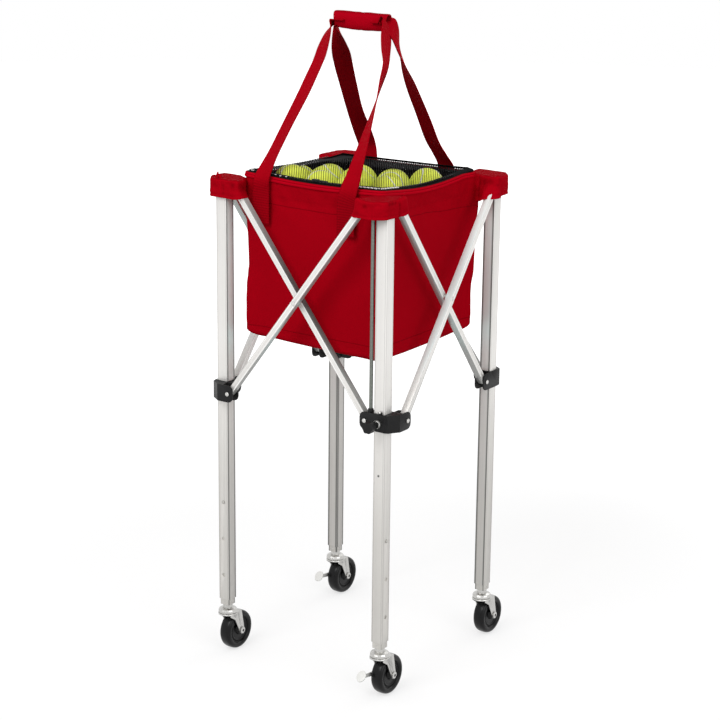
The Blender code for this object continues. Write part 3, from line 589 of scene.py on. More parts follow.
def hardPiece(name, bm, body, materials, replaces=(), degrees=40):
    # edges past this angle stay sharp, so that flats stay flat
    piece = addPiece(name, bm, body, materials, replaces=replaces)
    bm = bmesh.new()
    bm.from_mesh(piece.data)
    for edge in bm.edges:
        edge.smooth = len(edge.link_faces) == 2 and edge.calc_face_angle(0) < math.radians(degrees)
    bm.to_mesh(piece.data)
    bm.free()
    return piece


def outward(bm):
    bmesh.ops.recalc_face_normals(bm, faces=bm.faces)
    return bm


def welded(bm, gap=1e-5):
    bmesh.ops.remove_doubles(bm, verts=bm.verts, dist=gap)
    return outward(bm)


def painted(bm):
    # all of it in the piece's second material
    for face in bm.faces:
        face.material_index = 1
    return bm


def rounded(piece, width, segments=2, degrees=50):
    bevel = piece.modifiers.new("edges", "BEVEL")
    bevel.use_clamp_overlap = True
    bevel.width = width
    bevel.segments = segments
    bevel.limit_method = "ANGLE"
    bevel.angle_limit = math.radians(degrees)
    bevel.harden_normals = True


def subdivided(piece):
    smooth = piece.modifiers.new("smooth", "SUBSURF")
    smooth.levels = 1
    smooth.render_levels = 1


def thickened(piece, thickness, offset=-1.0):
    wall = piece.modifiers.new("wall", "SOLIDIFY")
    wall.thickness = thickness
    wall.offset = offset


def spinProfile(profile, axis, centre, steps):
    # a closed turned shape: profile is (along the axis, radius) from end to end
    bm = bmesh.new()
    axis = Vector(axis).normalized()
    side = axis.orthogonal().normalized()
    verts = [bm.verts.new(Vector(centre) + axis * along + side * radius) for along, radius in profile]
    edges = [bm.edges.new(pair) for pair in zip(verts, verts[1:])]
    bmesh.ops.spin(bm, geom=verts + edges, cent=centre, axis=axis, dvec=(0, 0, 0), angle=2 * math.pi,
                   steps=steps, use_merge=True, use_duplicate=False)
    return welded(bm, 1e-6)


def joined(*parts):
    # several bmeshes as one
    whole = bmesh.new()
    for part in parts:
        mesh = bpy.data.meshes.new("joining")
        part.to_mesh(mesh)
        part.free()
        whole.from_mesh(mesh)
        bpy.data.meshes.remove(mesh)
    return whole


def circle(bm, count, radius=1.0):
    return list(bmesh.ops.create_circle(bm, cap_ends=False, segments=count, radius=radius)["verts"])


def ringEdges(verts):
    inside = set(verts)
    return list({e for v in verts for e in v.link_edges if e.other_vert(v) in inside})


def extruded(bm, ring, edges, times):
    # the first ring and those extruded from it one by one, their points in the same order
    rings = [ring]
    for step in range(times):
        made = bmesh.ops.extrude_edge_only(bm, edges=edges)["geom"]
        edges = [part for part in made if isinstance(part, bmesh.types.BMEdge)]
        own = set(edges)
        fresh = {}
        for vert in (part for part in made if isinstance(part, bmesh.types.BMVert)):
            behind = next(e.other_vert(vert) for e in vert.link_edges if e not in own)
            fresh[behind] = vert
        rings.append([fresh[vert] for vert in rings[-1]])
    return rings


def tube(bm, count, times, radius=1.0):
    ring = circle(bm, count, radius)
    return extruded(bm, ring, ringEdges(ring), times)


def legPlace(corner):
    # where a leg's axis meets the floor
    low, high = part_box("leg_outer_" + corner)
    return Vector(((low[0] + high[0]) / 2, (low[1] + high[1]) / 2, 0))


# the bag's shape: half widths by height, as in the frame; its corners go by the signs of x and y
bagLook = {
    "bottom": 0.631, "rim": 0.9215,
    "bottomHalf": 0.1518, "middleHalf": 0.1542, "rimHalf": 0.1515,
    # how far the upright edge at each corner stands out past the walls: height and reach in millimetres
    "cornerReach": {
        (-1, -1): [(632, 8.6), (656, 7.4), (690, 6), (720, 4.4), (745, 1.8), (765, -0.4), (830, -2), (880, 1),
                   (930, 3.4)],
        (1, -1): [(632, 2), (700, 1.4), (780, 1), (860, 1), (930, 3)],
        (1, 1): [(632, 9.8), (655, 9), (675, 7.6), (695, 6.3), (710, 6.4), (736, 9.3), (800, 10.4), (858, 10.8),
                 (900, 9), (930, 5.8)],
        (-1, 1): [(632, 4), (720, 2), (800, -0.4), (880, 1), (930, 3)],
    },
    # height of the bottom seam against the frame's, at the corners and in the middle of each side
    "hemCorners": {(-1, -1): 0.0020, (1, -1): -0.0058, (1, 1): -0.0020, (-1, 1): 0.0},
    "hemSag": {"front": 0.0091, "right": 0.0107, "rear": 0.0095, "left": 0.0095},
    # height of the piping at the corners, and how far each side's edge hangs between them
    "rimCorners": {(-1, -1): 0.9325, (1, -1): 0.9305, (1, 1): 0.9265, (-1, 1): 0.9230},
    "rimSag": {"front": 0.0060, "right": 0.0110, "rear": 0.0005, "left": 0.0055},
    "corner": 0.018, "turnUnder": 0.007,
    "loops": 208, "rows": 52, "floorRings": 14,
    "hemDrop": 0.035,            # seam below the rim
    "footSeam": 0.018,           # seam above the bottom
    "cloth": 0.0013,
    "slack": 0.012,              # share by which the cloth is cut larger than its frame
    "puff": 1.6,                 # pressure of the balls on the walls
    "weight": 0.35, "frames": 22,
    "mostMove": 0.0055,
}
top = bagLook["rim"]


def bagHalf(z):
    look = bagLook
    share = clip((z - look["bottom"]) / (look["rim"] - look["bottom"]))
    ends = look["bottomHalf"] * (1 - share) + look["rimHalf"] * share
    belly = look["middleHalf"] - 0.5 * (look["bottomHalf"] + look["rimHalf"])
    return ends + belly * math.sin(math.pi * share) ** 0.8


def edgeHeight(x, y, half, corner, sag, hang):
    # a height over a point, from the four corners and how far each side hangs between them
    u, v = (clip(c / half * 0.5 + 0.5) * 2 - 1 for c in (x, y))
    flat = sum(corner[a, b] * (1 + a * u) * (1 + b * v) / 4 for a in (-1, 1) for b in (-1, 1))
    across, along = hang(u) * v ** 4, hang(v) * u ** 4
    return flat - across * sag["front" if v < 0 else "rear"] - along * sag["right" if u > 0 else "left"]


def rimHeight(x, y):
    # top of the piping, taken over the whole mouth of the bag
    look = bagLook
    return edgeHeight(x, y, look["rimHalf"], look["rimCorners"], look["rimSag"], lambda u: (1 - u * u) ** 1.3)


def hemLift(x, y):
    # the bottom seam hangs in the middle of each side and is held up at the corners
    look = bagLook
    return edgeHeight(x, y, look["bottomHalf"], look["hemCorners"], look["hemSag"], lambda u: 1 - u ** 4)


def readTable(table, value):
    # a value read off a short table, smoothly between its rows
    for (low, first), (high, last) in zip(table, table[1:]):
        if value <= high:
            return first + (last - first) * ease((value - low) / (high - low))
    return table[-1][1]


def cornerPush(x, y, z=0.93):
    # how far the cloth's upright edges pull a point out past the walls
    signX, signY = math.copysign(1, x), math.copysign(1, y)
    near = bell(abs(abs(x) - 0.150) + abs(abs(y) - 0.150), 0.024)
    reach = abs(readTable(bagLook["cornerReach"][signX, signY], z * 1000)) / 1000 * near
    return Vector((signX * reach, signY * reach, 0))


def roundSquare(share, half, corner):
    # a point on a square with round corners, and the way out of it, by its share of the way round
    straight = 2 * (half - corner)
    bend = math.pi / 2 * corner
    run = (share % 1.0) * 4 * (straight + bend)
    side = int(run // (straight + bend))
    left = run - side * (straight + bend)
    if left < straight:
        spot, out = Vector((-half + corner + left, -half, 0)), Vector((0, -1, 0))
    else:
        turn = (left - straight) / corner
        out = Vector((math.sin(turn), -math.cos(turn), 0))
        spot = Vector((half - corner, -half + corner, 0)) + out * corner
    spin = Matrix.Rotation(side * math.pi / 2, 3, "Z")
    return spin @ spot, spin @ out


def settle(piece, pinned, look, stiffness=18.0):
    # runs the cloth, keeps each point near where it was, and leaves no modifier
    rest = [v.co.copy() for v in piece.data.vertices]
    group = piece.vertex_groups.new(name="pinned")
    for index, weight in pinned.items():
        group.add([index], weight, "REPLACE")
    cloth = piece.modifiers.new("cloth", "CLOTH")
    values = {
        "quality": 6, "mass": 0.25, "air_damping": 3.0, "vertex_group_mass": "pinned", "pin_stiffness": 1.0,
        "tension_stiffness": stiffness, "compression_stiffness": stiffness, "shear_stiffness": stiffness * 0.4,
        "bending_stiffness": 0.4, "shrink_min": -look["slack"],
        "use_pressure": True, "uniform_pressure_force": look["puff"],
    }
    for name, value in values.items():
        setattr(cloth.settings, name, value)
    cloth.settings.effector_weights.gravity = look["weight"]
    cloth.collision_settings.use_collision = False
    cloth.collision_settings.use_self_collision = False
    cloth.point_cache.frame_start = 1
    cloth.point_cache.frame_end = look["frames"]
    scene = bpy.context.scene
    for number in range(1, look["frames"] + 1):
        scene.frame_set(number)
    graph = bpy.context.evaluated_depsgraph_get()
    moved = [v.co.copy() for v in piece.evaluated_get(graph).data.vertices]
    piece.modifiers.remove(cloth)
    scene.frame_set(1)
    for vert, was, now in zip(piece.data.vertices, rest, moved):
        step = now - was
        vert.co = was + step * min(1.0, look["mostMove"] / max(step.length, 1e-9))
    piece.vertex_groups.clear()


def makeBag():
    look = bagLook
    count, rows, under, bottom = look["loops"], look["rows"], look["turnUnder"], look["bottom"]
    bm = bmesh.new()
    rings = tube(bm, count, rows + look["floorRings"])
    for row, ring in enumerate(rings[:rows + 1]):
        z = top - (top - bottom) * row / rows
        drop = max(0.0, (bottom + under - z) / under)      # the foot of the wall turns under
        inset = under * (1 - math.sqrt(max(0.0, 1 - drop ** 2)))
        for i, vert in enumerate(ring):
            spot, out = roundSquare(i / count, bagHalf(z) - inset, look["corner"])
            vert.co = spot + Vector((0, 0, z))
    for step, ring in enumerate(rings[rows + 1:], 1):
        share = 1 - step / look["floorRings"]
        height = bottom - 0.0006 - 0.0010 * math.sin(math.pi * share)
        for vert, wall in zip(ring, rings[rows]):
            vert.co = Vector((wall.co.x * share, wall.co.y * share, height))
    bag = addPiece("bag_cloth", welded(bm), "bag", ["red_cloth"], replaces=["bag_shell"])
    pinned = {}
    for vert in bag.data.vertices:
        if vert.co.z > top - 0.004:
            pinned[vert.index] = 1.0
        elif vert.co.z > top - 0.045 and min(abs(vert.co.x), abs(vert.co.y)) > 0.128:
            pinned[vert.index] = 0.9
    settle(bag, pinned, look)
    return bag


def bagFolds(bag):
    # what the needle and the load leave: the seams' grooves, puckers under the rim, upright folds and slack
    look = bagLook
    hem, bottom = top - look["hemDrop"], look["bottom"]
    flat = look["rimHalf"] - look["corner"]
    for vert in bag.data.vertices:
        x, y, z = vert.co
        if max(abs(x), abs(y)) < look["rimHalf"] - 0.03 or z < bottom + 0.004:
            continue
        onSide = abs(x) > abs(y)
        out = Vector((math.copysign(1, x), 0, 0)) if onSide else Vector((0, math.copysign(1, y), 0))
        if min(abs(x), abs(y)) > flat:
            out = Vector((x - math.copysign(flat, x), y - math.copysign(flat, y), 0)).normalized()
        along = y if onSide else x
        depth = top - z
        groove = 0.0007 * bell(z - hem - 0.005, 0.003) - 0.0011 * bell(z - hem, 0.0022)
        groove -= 0.0018 * bell(z - top + 0.0064, 0.0016) + 0.0009 * bell(z - bottom - look["footSeam"], 0.0018)
        pucker = math.sin(along * 210 + 2 * noise.noise((along * 30, 1.7, 0))) * bell(depth - 0.040, 0.016)
        folds = noise.noise((along * 13 + 7 * onSide, z * 2.6, 3 * math.copysign(1, x + y)))
        folds *= math.sin(math.pi * min(1, depth / 0.24))
        slack = noise.noise((along * 26 + z * 34, z * 9, 4.2)) * bell(depth - 0.03, 0.045)
        vert.co += out * (groove + 0.0007 * pucker + 0.0030 * folds + 0.0022 * slack)
    for vert in bag.data.vertices:
        x, y, z = vert.co
        rise, fall = ease((z - 0.800) / (top - 0.800)), ease((0.76 - z) / (0.76 - bottom))
        vert.co.z += (rimHeight(x, y) - 0.0050 - top) * rise + hemLift(x, y) * fall
        vert.co += cornerPush(x, y, z)
    down = bag.data.attributes.new("fromRim", "FLOAT", "POINT")
    for vert in bag.data.vertices:
        down.data[vert.index].value = min(vert.co.z - rimHeight(vert.co.x, vert.co.y), -0.001)
    subdivided(bag)
    thickened(bag, look["cloth"])


bagPiece = makeBag()
bagFolds(bagPiece)
print("bag cloth made")


# piping band, its seam, the black zip tape and the teeth
rimLook = {
    "bandHeight": 0.0056, "bandProud": 0.0016, "cordRadius": 0.0027, "steps": 220,
    "tapeWidth": 0.0095, "tapeClimb": 0.0030,
    "toothPitch": 0.0040, "toothSize": (0.0030, 0.0020, 0.0014), "toothIn": 0.0078,
}


def sweptRing(name, profile, half, material, heightAt, replaces=()):
    # a closed profile (out, up) carried round the bag's outline
    bm = bmesh.new()
    first = [bm.verts.new((out, 0, up)) for out, up in profile]
    edges = [bm.edges.new(pair) for pair in zip(first, first[1:] + first[:1])]
    rings = extruded(bm, first, edges, rimLook["steps"] - 1)
    for step, ring in enumerate(rings):
        spot, out = roundSquare(step / len(rings), half, bagLook["corner"])
        lift = heightAt(spot)
        spot = spot + cornerPush(spot.x, spot.y)
        for vert, (reach, up) in zip(ring, profile):
            vert.co = spot + out * reach + Vector((0, 0, up + lift))
    bmesh.ops.bridge_loops(bm, edges=ringEdges(rings[0]) + ringEdges(rings[-1]))
    return addPiece(name, outward(bm), "bag", [material], replaces=replaces)


def pipingHeight(spot):
    # along the back and the left the net's edge stands above the piping
    left = clip((-0.13 - spot.x) / 0.02) * clip((spot.y + 0.12) / 0.04)
    return rimHeight(spot.x, spot.y) - 0.0034 * max(clip((spot.y - 0.11) / 0.03), left)


def makeRim():
    half = bagHalf(top)
    look = rimLook
    tall, proud, radius = look["bandHeight"], look["bandProud"], look["cordRadius"]
    wide, climb = look["tapeWidth"], look["tapeClimb"]
    band = [(0.0004, -0.0045 - tall), (proud, -0.0037 - tall), (proud + 0.0005, -0.0061), (0.0011, -0.0041),
            (-0.0008, -0.0043), (-0.0010, -0.0035 - tall)]
    subdivided(sweptRing("rim_band", band, half, "red_piping", pipingHeight))
    turns = [i * math.pi / 5 for i in range(10)]
    cord = [(math.cos(a) * radius - 0.0010, math.sin(a) * radius - radius) for a in turns]
    subdivided(sweptRing("rim_piping", cord, half - 0.0006, "red_piping", pipingHeight, ["bag_piping"]))
    far = -0.0046 - wide
    tape = [(-0.0030, -0.0022), (-0.0040, -0.0002), (far, climb + 0.0008), (far, climb - 0.0004)]
    sweptRing("zip_tape", tape, half, "black_web", lambda spot: rimHeight(spot.x, spot.y))


def makeTeeth():
    # one tooth copied along the front and both sides of the zip; some at the nearest corner and along the front
    # left are pale
    bm = bmesh.new()
    inset = rimLook["toothIn"]
    half = bagHalf(top) - inset
    corner = bagLook["corner"] - inset
    count = int(4 * (2 * (half - corner) + math.pi / 2 * corner) / rimLook["toothPitch"])
    lift = rimLook["tapeClimb"] * (inset - 0.004) / rimLook["tapeWidth"] + 0.0012
    shape = Matrix.Diagonal((*rimLook["toothSize"], 1.0))
    for i in range(count):
        spot, out = roundSquare(i / count, half, corner)
        if spot.y > 0.095:
            continue
        spot = spot + cornerPush(spot.x, spot.y)
        side = 0.0008 if i % 2 else -0.0008
        place = Matrix.Translation(spot + out * side + Vector((0, 0, rimHeight(spot.x, spot.y) + lift)))
        turn = Matrix.Rotation(math.atan2(out.y, out.x), 4, "Z")
        made = bmesh.ops.create_cube(bm, size=1.0, matrix=place @ turn @ shape)["verts"]
        paleTooth = (spot.x > 0.075 and spot.y < -0.09) or (spot.y < -0.12 and spot.x < -0.06 and i % 3 == 0)
        for face in {f for v in made for f in v.link_faces}:
            face.material_index = int(paleTooth)
    addPiece("zip_teeth", outward(bm), "bag", ["black_nylon", "pale_tab"], flat=True)


makeRim()
makeTeeth()
print("rim, zip tape and teeth made")


# tennis balls heaped towards the front, with their seam; middles in millimetres
ballLook = {
    "radius": 0.0332, "seam": 0.0008, "steps": 90, "sides": 8, "wave": 0.44,
    "upper": [
        (-80, -104, 911.5), (-12, -108, 908.5), (56, -108, 909), (108.5, -75, 907.5),
        (-108.5, -40, 898.5), (-46.5, -44, 905), (21, -46, 908.5), (80, -15, 906),
        (-80, 15, 896), (-12, 15, 902), (48, 35, 898), (107.5, 56, 903),
    ],
    # those below show only between them
    "lower": [
        (-46, -83, 864), (21.5, -85, 864), (85, -64, 862), (-96, -76, 862), (105, -105, 860), (-106, -106, 860),
        (-80, -18, 856), (-13, -18, 860), (50, -12, 858), (105, 12, 856), (-46, 30, 852), (18, 34, 854),
    ],
}
upperBalls = metres(ballLook["upper"])


def seamPoint(turn, radius):
    # the closed seam of a tennis ball
    a = ballLook["wave"]
    x = math.cos(turn) + a * math.cos(3 * turn)
    y = math.sin(turn) - a * math.sin(3 * turn)
    z = 2 * math.sqrt(a) * math.sin(2 * turn)
    return Vector((x, y, z)).normalized() * radius


def makeBalls():
    felt = bmesh.new()
    seams = bmesh.new()
    radius, steps, sides, thick = (ballLook[name] for name in ("radius", "steps", "sides", "seam"))
    for spot in metres(ballLook["lower"]):
        bmesh.ops.create_icosphere(felt, subdivisions=3, radius=radius, matrix=Matrix.Translation(spot))
    for spot in upperBalls:
        turn = Matrix.Translation(spot) @ Matrix.Rotation(chance.uniform(0, 6.28), 4, "Z")
        turn = turn @ Matrix.Rotation(chance.uniform(0, 3.14), 4, "X")
        bmesh.ops.create_icosphere(felt, subdivisions=4, radius=radius, matrix=turn)
        rings = tube(seams, sides, steps - 1, thick)
        for step, ring in enumerate(rings):
            angle = 2 * math.pi * step / steps
            here = seamPoint(angle, radius + 0.0001)
            ahead = (seamPoint(angle + 0.01, radius) - seamPoint(angle - 0.01, radius)).normalized()
            up = here.normalized()
            side = ahead.cross(up)
            for i, vert in enumerate(ring):
                a = 2 * math.pi * i / sides
                vert.co = turn @ (here + side * math.cos(a) * thick * 1.5 + up * math.sin(a) * thick * 0.45)
        bmesh.ops.bridge_loops(seams, edges=ringEdges(rings[0]) + ringEdges(rings[-1]))
    addPiece("tennis_balls", outward(felt), "bag", ["ball_felt"])
    addPiece("ball_seams", outward(seams), "bag", ["seam_rubber"])


# dark inside of the bag below the net, open at its top
liningLook = {"heights": (top - 0.001, 0.90, 0.86, 0.81), "inset": 0.009, "loops": 96, "thickness": 0.0006}


def makeLining():
    look = liningLook
    half, corner = bagHalf(top) - look["inset"], bagLook["corner"] - look["inset"]
    bm = bmesh.new()
    rings = tube(bm, look["loops"], 3)
    for ring, z in zip(rings, look["heights"]):
        for i, vert in enumerate(ring):
            spot, out = roundSquare(i / len(ring), half, corner)
            vert.co = spot + Vector((0, 0, z))
    bmesh.ops.edgeloop_fill(bm, edges=ringEdges(rings[-1]))
    thickened(addPiece("bag_lining", outward(bm), "bag", ["black_web"]), look["thickness"])


makeBalls()
makeLining()
print("balls and lining made")


# the net lid, stretched over the balls
lidLook = {"half": 0.1470, "crown": 0.0015, "lift": 0.0010, "cuts": 84, "soften": 5}


def makeLid():
    bm = bmesh.new()
    half = lidLook["half"]
    bmesh.ops.create_grid(bm, x_segments=lidLook["cuts"], y_segments=lidLook["cuts"], size=half)
    corner = bagLook["corner"] - 0.0045
    inner = half - corner
    for vert in bm.verts:
        # the square's corners are drawn in onto the round outline
        x, y = vert.co.x, vert.co.y
        reach = max(abs(x), abs(y)) / half
        if reach > 1e-6:
            bigX, bigY = x / reach, y / reach
            dx, dy = max(0.0, abs(bigX) - inner), max(0.0, abs(bigY) - inner)
            past = math.hypot(dx, dy)
            if min(dx, dy) > 0 and past > corner:
                bigX = math.copysign(inner + dx / past * corner, bigX)
                bigY = math.copysign(inner + dy / past * corner, bigY)
            vert.co.x, vert.co.y = bigX * reach, bigY * reach
            vert.co += cornerPush(vert.co.x, vert.co.y)
    for vert in bm.verts:
        x, y = vert.co.x, vert.co.y
        edge = max(abs(x), abs(y)) / half
        climb = rimLook["tapeClimb"] * clip((0.09 - y) / 0.04) * min(1.0, (1 - edge) * half / 0.010)
        height = rimHeight(x, y) + lidLook["crown"] * (1 - edge ** 2) + climb
        for ballX, ballY, ballZ in upperBalls:
            gap = math.hypot(x - ballX, y - ballY)
            if gap < ballLook["radius"]:
                height = max(height, ballZ + math.sqrt(ballLook["radius"] ** 2 - gap ** 2) + lidLook["lift"])
        vert.co.z = rimHeight(x, y) - 0.0002 if vert.is_boundary else height
    inside = [v for v in bm.verts if not v.is_boundary]
    heights = {v: v.co.z for v in inside}
    for turn in range(lidLook["soften"]):
        bmesh.ops.smooth_vert(bm, verts=inside, factor=0.5, use_axis_z=True)
        for vert in inside:
            vert.co.z = max(vert.co.z, heights[vert] - 0.0005)
    outward(bm)
    if sum(f.normal.z for f in bm.faces) < 0:
        bmesh.ops.reverse_faces(bm, faces=bm.faces)
    lid = addPiece("net_lid", bm, "bag", ["black_net"], replaces=["mesh_lid"])
    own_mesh(lid)


makeLid()
print("net lid made")

# straps from the seam on the bag up to the grip: x, y and z of the middle in millimetres, turn in degrees
strapLook = {
    "width": 0.037, "thickness": 0.0019, "rows": 120, "across": 9, "cup": 0.0012, "edge": 0.0005,
    "front_left": [(-108.5, -156.8, 842, 0), (-108.5, -157.2, 870, 0), (-108.2, -157, 900, 0),
                   (-106, -156.5, 924, -8), (-99.5, -148.5, 948, -18), (-92.5, -135.3, 975, -24),
                   (-81.7, -111.3, 1020, -24), (-70.8, -81.5, 1070, -21), (-67.7, -61, 1100, -21),
                   (-66, -40, 1129, -23), (-67.5, -24.3, 1153, -27), (-67.5, -11, 1175, -40),
                   (-65, -4, 1188, -60), (-59, -1, 1196, -80), (-48, -0.5, 1199, -90), (-30, -0.5, 1199, -90)],
    "front_right": [(78.5, -156.8, 842, 0), (78.5, -157.2, 870, 0), (79, -157, 900, 0), (85, -156.8, 924, -4),
                    (91.5, -153, 948, -12), (94.2, -143.4, 975, -22), (92.5, -116.6, 1020, -36),
                    (89.6, -85.4, 1070, -53), (86.8, -66.6, 1100, -64), (84, -47.9, 1129, -73),
                    (76, -35.8, 1153, -84), (68, -23, 1175, -90), (62, -12, 1188, -90), (57, -4, 1196, -90),
                    (48, -1, 1199, -90), (30, -0.5, 1199, -90)],
    "rear_left": [(-90, 156.8, 842, 0), (-90, 157.2, 870, 0), (-90, 157, 900, 0), (-90.5, 156.5, 924, 4),
                  (-93, 153, 948, 10), (-96.3, 141.9, 975, 13), (-95.6, 114.4, 1020, 2), (-90.1, 85, 1070, 7),
                  (-86, 67.1, 1100, 13), (-80.9, 50.1, 1129, 12), (-75.4, 36.2, 1153, -12),
                  (-69.4, 23.1, 1175, -38), (-64, 12, 1188, -60), (-58, 5, 1196, -80), (-48, 2, 1199.5, -90),
                  (-30, 2, 1199.5, -90)],
    "rear_right": [(86, 156.8, 842, 0), (86, 157.2, 870, 0), (85.8, 157, 900, 0), (85, 155.5, 924, -4),
                   (80.6, 140, 948, -10), (74.2, 122.7, 975, -12), (70, 98.9, 1020, -14),
                   (69, 65.7, 1070, -19), (67, 49, 1100, -28), (66, 33, 1129, -46), (65, 21, 1153, -60),
                   (64, 13, 1175, -75), (61, 8, 1188, -85), (56.5, 4, 1196, -90), (48, 2.5, 1199.5, -90),
                   (30, 2.5, 1199.5, -90)],
}


def makeStrap(name):
    look = strapLook
    rows, across = look["rows"], look["across"]
    line = []
    for step in range(rows + 1):
        x, y, z, turn = curvePoint(look[name], step / rows)
        line.append((Vector((x, y, z)) / 1000, math.radians(turn)))
    bm = bmesh.new()
    mapLayer = bm.loops.layers.uv.new("strapMap")
    first = [bm.verts.new((u, 0, 0)) for u in range(across)]
    edges = [bm.edges.new(pair) for pair in zip(first, first[1:])]
    place = {}
    run = 0.0
    for step, row in enumerate(extruded(bm, first, edges, rows)):
        spot, turn = line[step]
        ahead = (line[min(step + 1, rows)][0] - line[max(step - 1, 0)][0]).normalized()
        if step:
            run += (spot - line[step - 1][0]).length
        level = Vector((1, 0, 0)) - ahead * ahead.x
        level = level.normalized() if level.length > 0.15 else Vector((0, 0, 1))
        wide = level * math.cos(turn) + ahead.cross(level) * math.sin(turn)
        back = ahead.cross(wide)
        for i, vert in enumerate(row):
            u = (i / (across - 1) - 0.5) * look["width"]
            bow = look["cup"] * (1 - (2 * u / look["width"]) ** 2) * math.sin(math.pi * step / rows)
            vert.co = spot + wide * u + back * bow
            place[vert] = (u, run)
    for face in bm.faces:
        for loop in face.loops:
            loop[mapLayer].uv = place[loop.vert]
    strap = addPiece("strap_" + name, outward(bm), "bag", ["red_webbing"])
    thickened(strap, look["thickness"], 0.0)
    rounded(strap, look["edge"])
    return strap


straps = {name: makeStrap(name) for name in corners}
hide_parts("handle_strap_front")
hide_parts("handle_strap_rear")
print("straps made")


# the wrap that holds the two straps together in the hand
gripLook = {
    "left": -0.0565, "right": 0.0570, "z": 1.1990, "halfY": 0.0100, "halfZ": 0.0148, "wall": 0.0022,
    "rings": 46, "around": 40, "square": 2.6, "sag": 0.0012, "slant": 0.004,
}


def makeGrip():
    look = gripLook
    bm = bmesh.new()
    for step, ring in enumerate(tube(bm, look["around"], look["rings"])):
        share = step / look["rings"]
        middle = math.sin(math.pi * share)
        x = look["left"] + (look["right"] - look["left"]) * share
        swell = 1.0 + 0.10 * middle ** 0.6 - 0.05 * bell(share - 0.5, 0.03)
        for i, vert in enumerate(ring):
            a = 2 * math.pi * i / look["around"]
            y, z = math.cos(a), math.sin(a)
            wrinkle = 1 + 0.035 * noise.noise((x * 60, y * 1.4, z * 1.4))
            square = look["square"]
            fat = (abs(y) ** square + abs(z) ** square) ** (-1 / square) * swell * wrinkle
            lean = look["slant"] * (share - 0.5) * z
            height = look["z"] + z * fat * look["halfZ"] - look["sag"] * middle
            vert.co = Vector((x + lean, y * fat * look["halfY"], height))
    grip = addPiece("grip_sleeve", outward(bm), "bag", ["red_grip"], replaces=["grip_wrap"])
    thickened(grip, look["wall"])
    subdivided(grip)


makeGrip()
print("grip made")


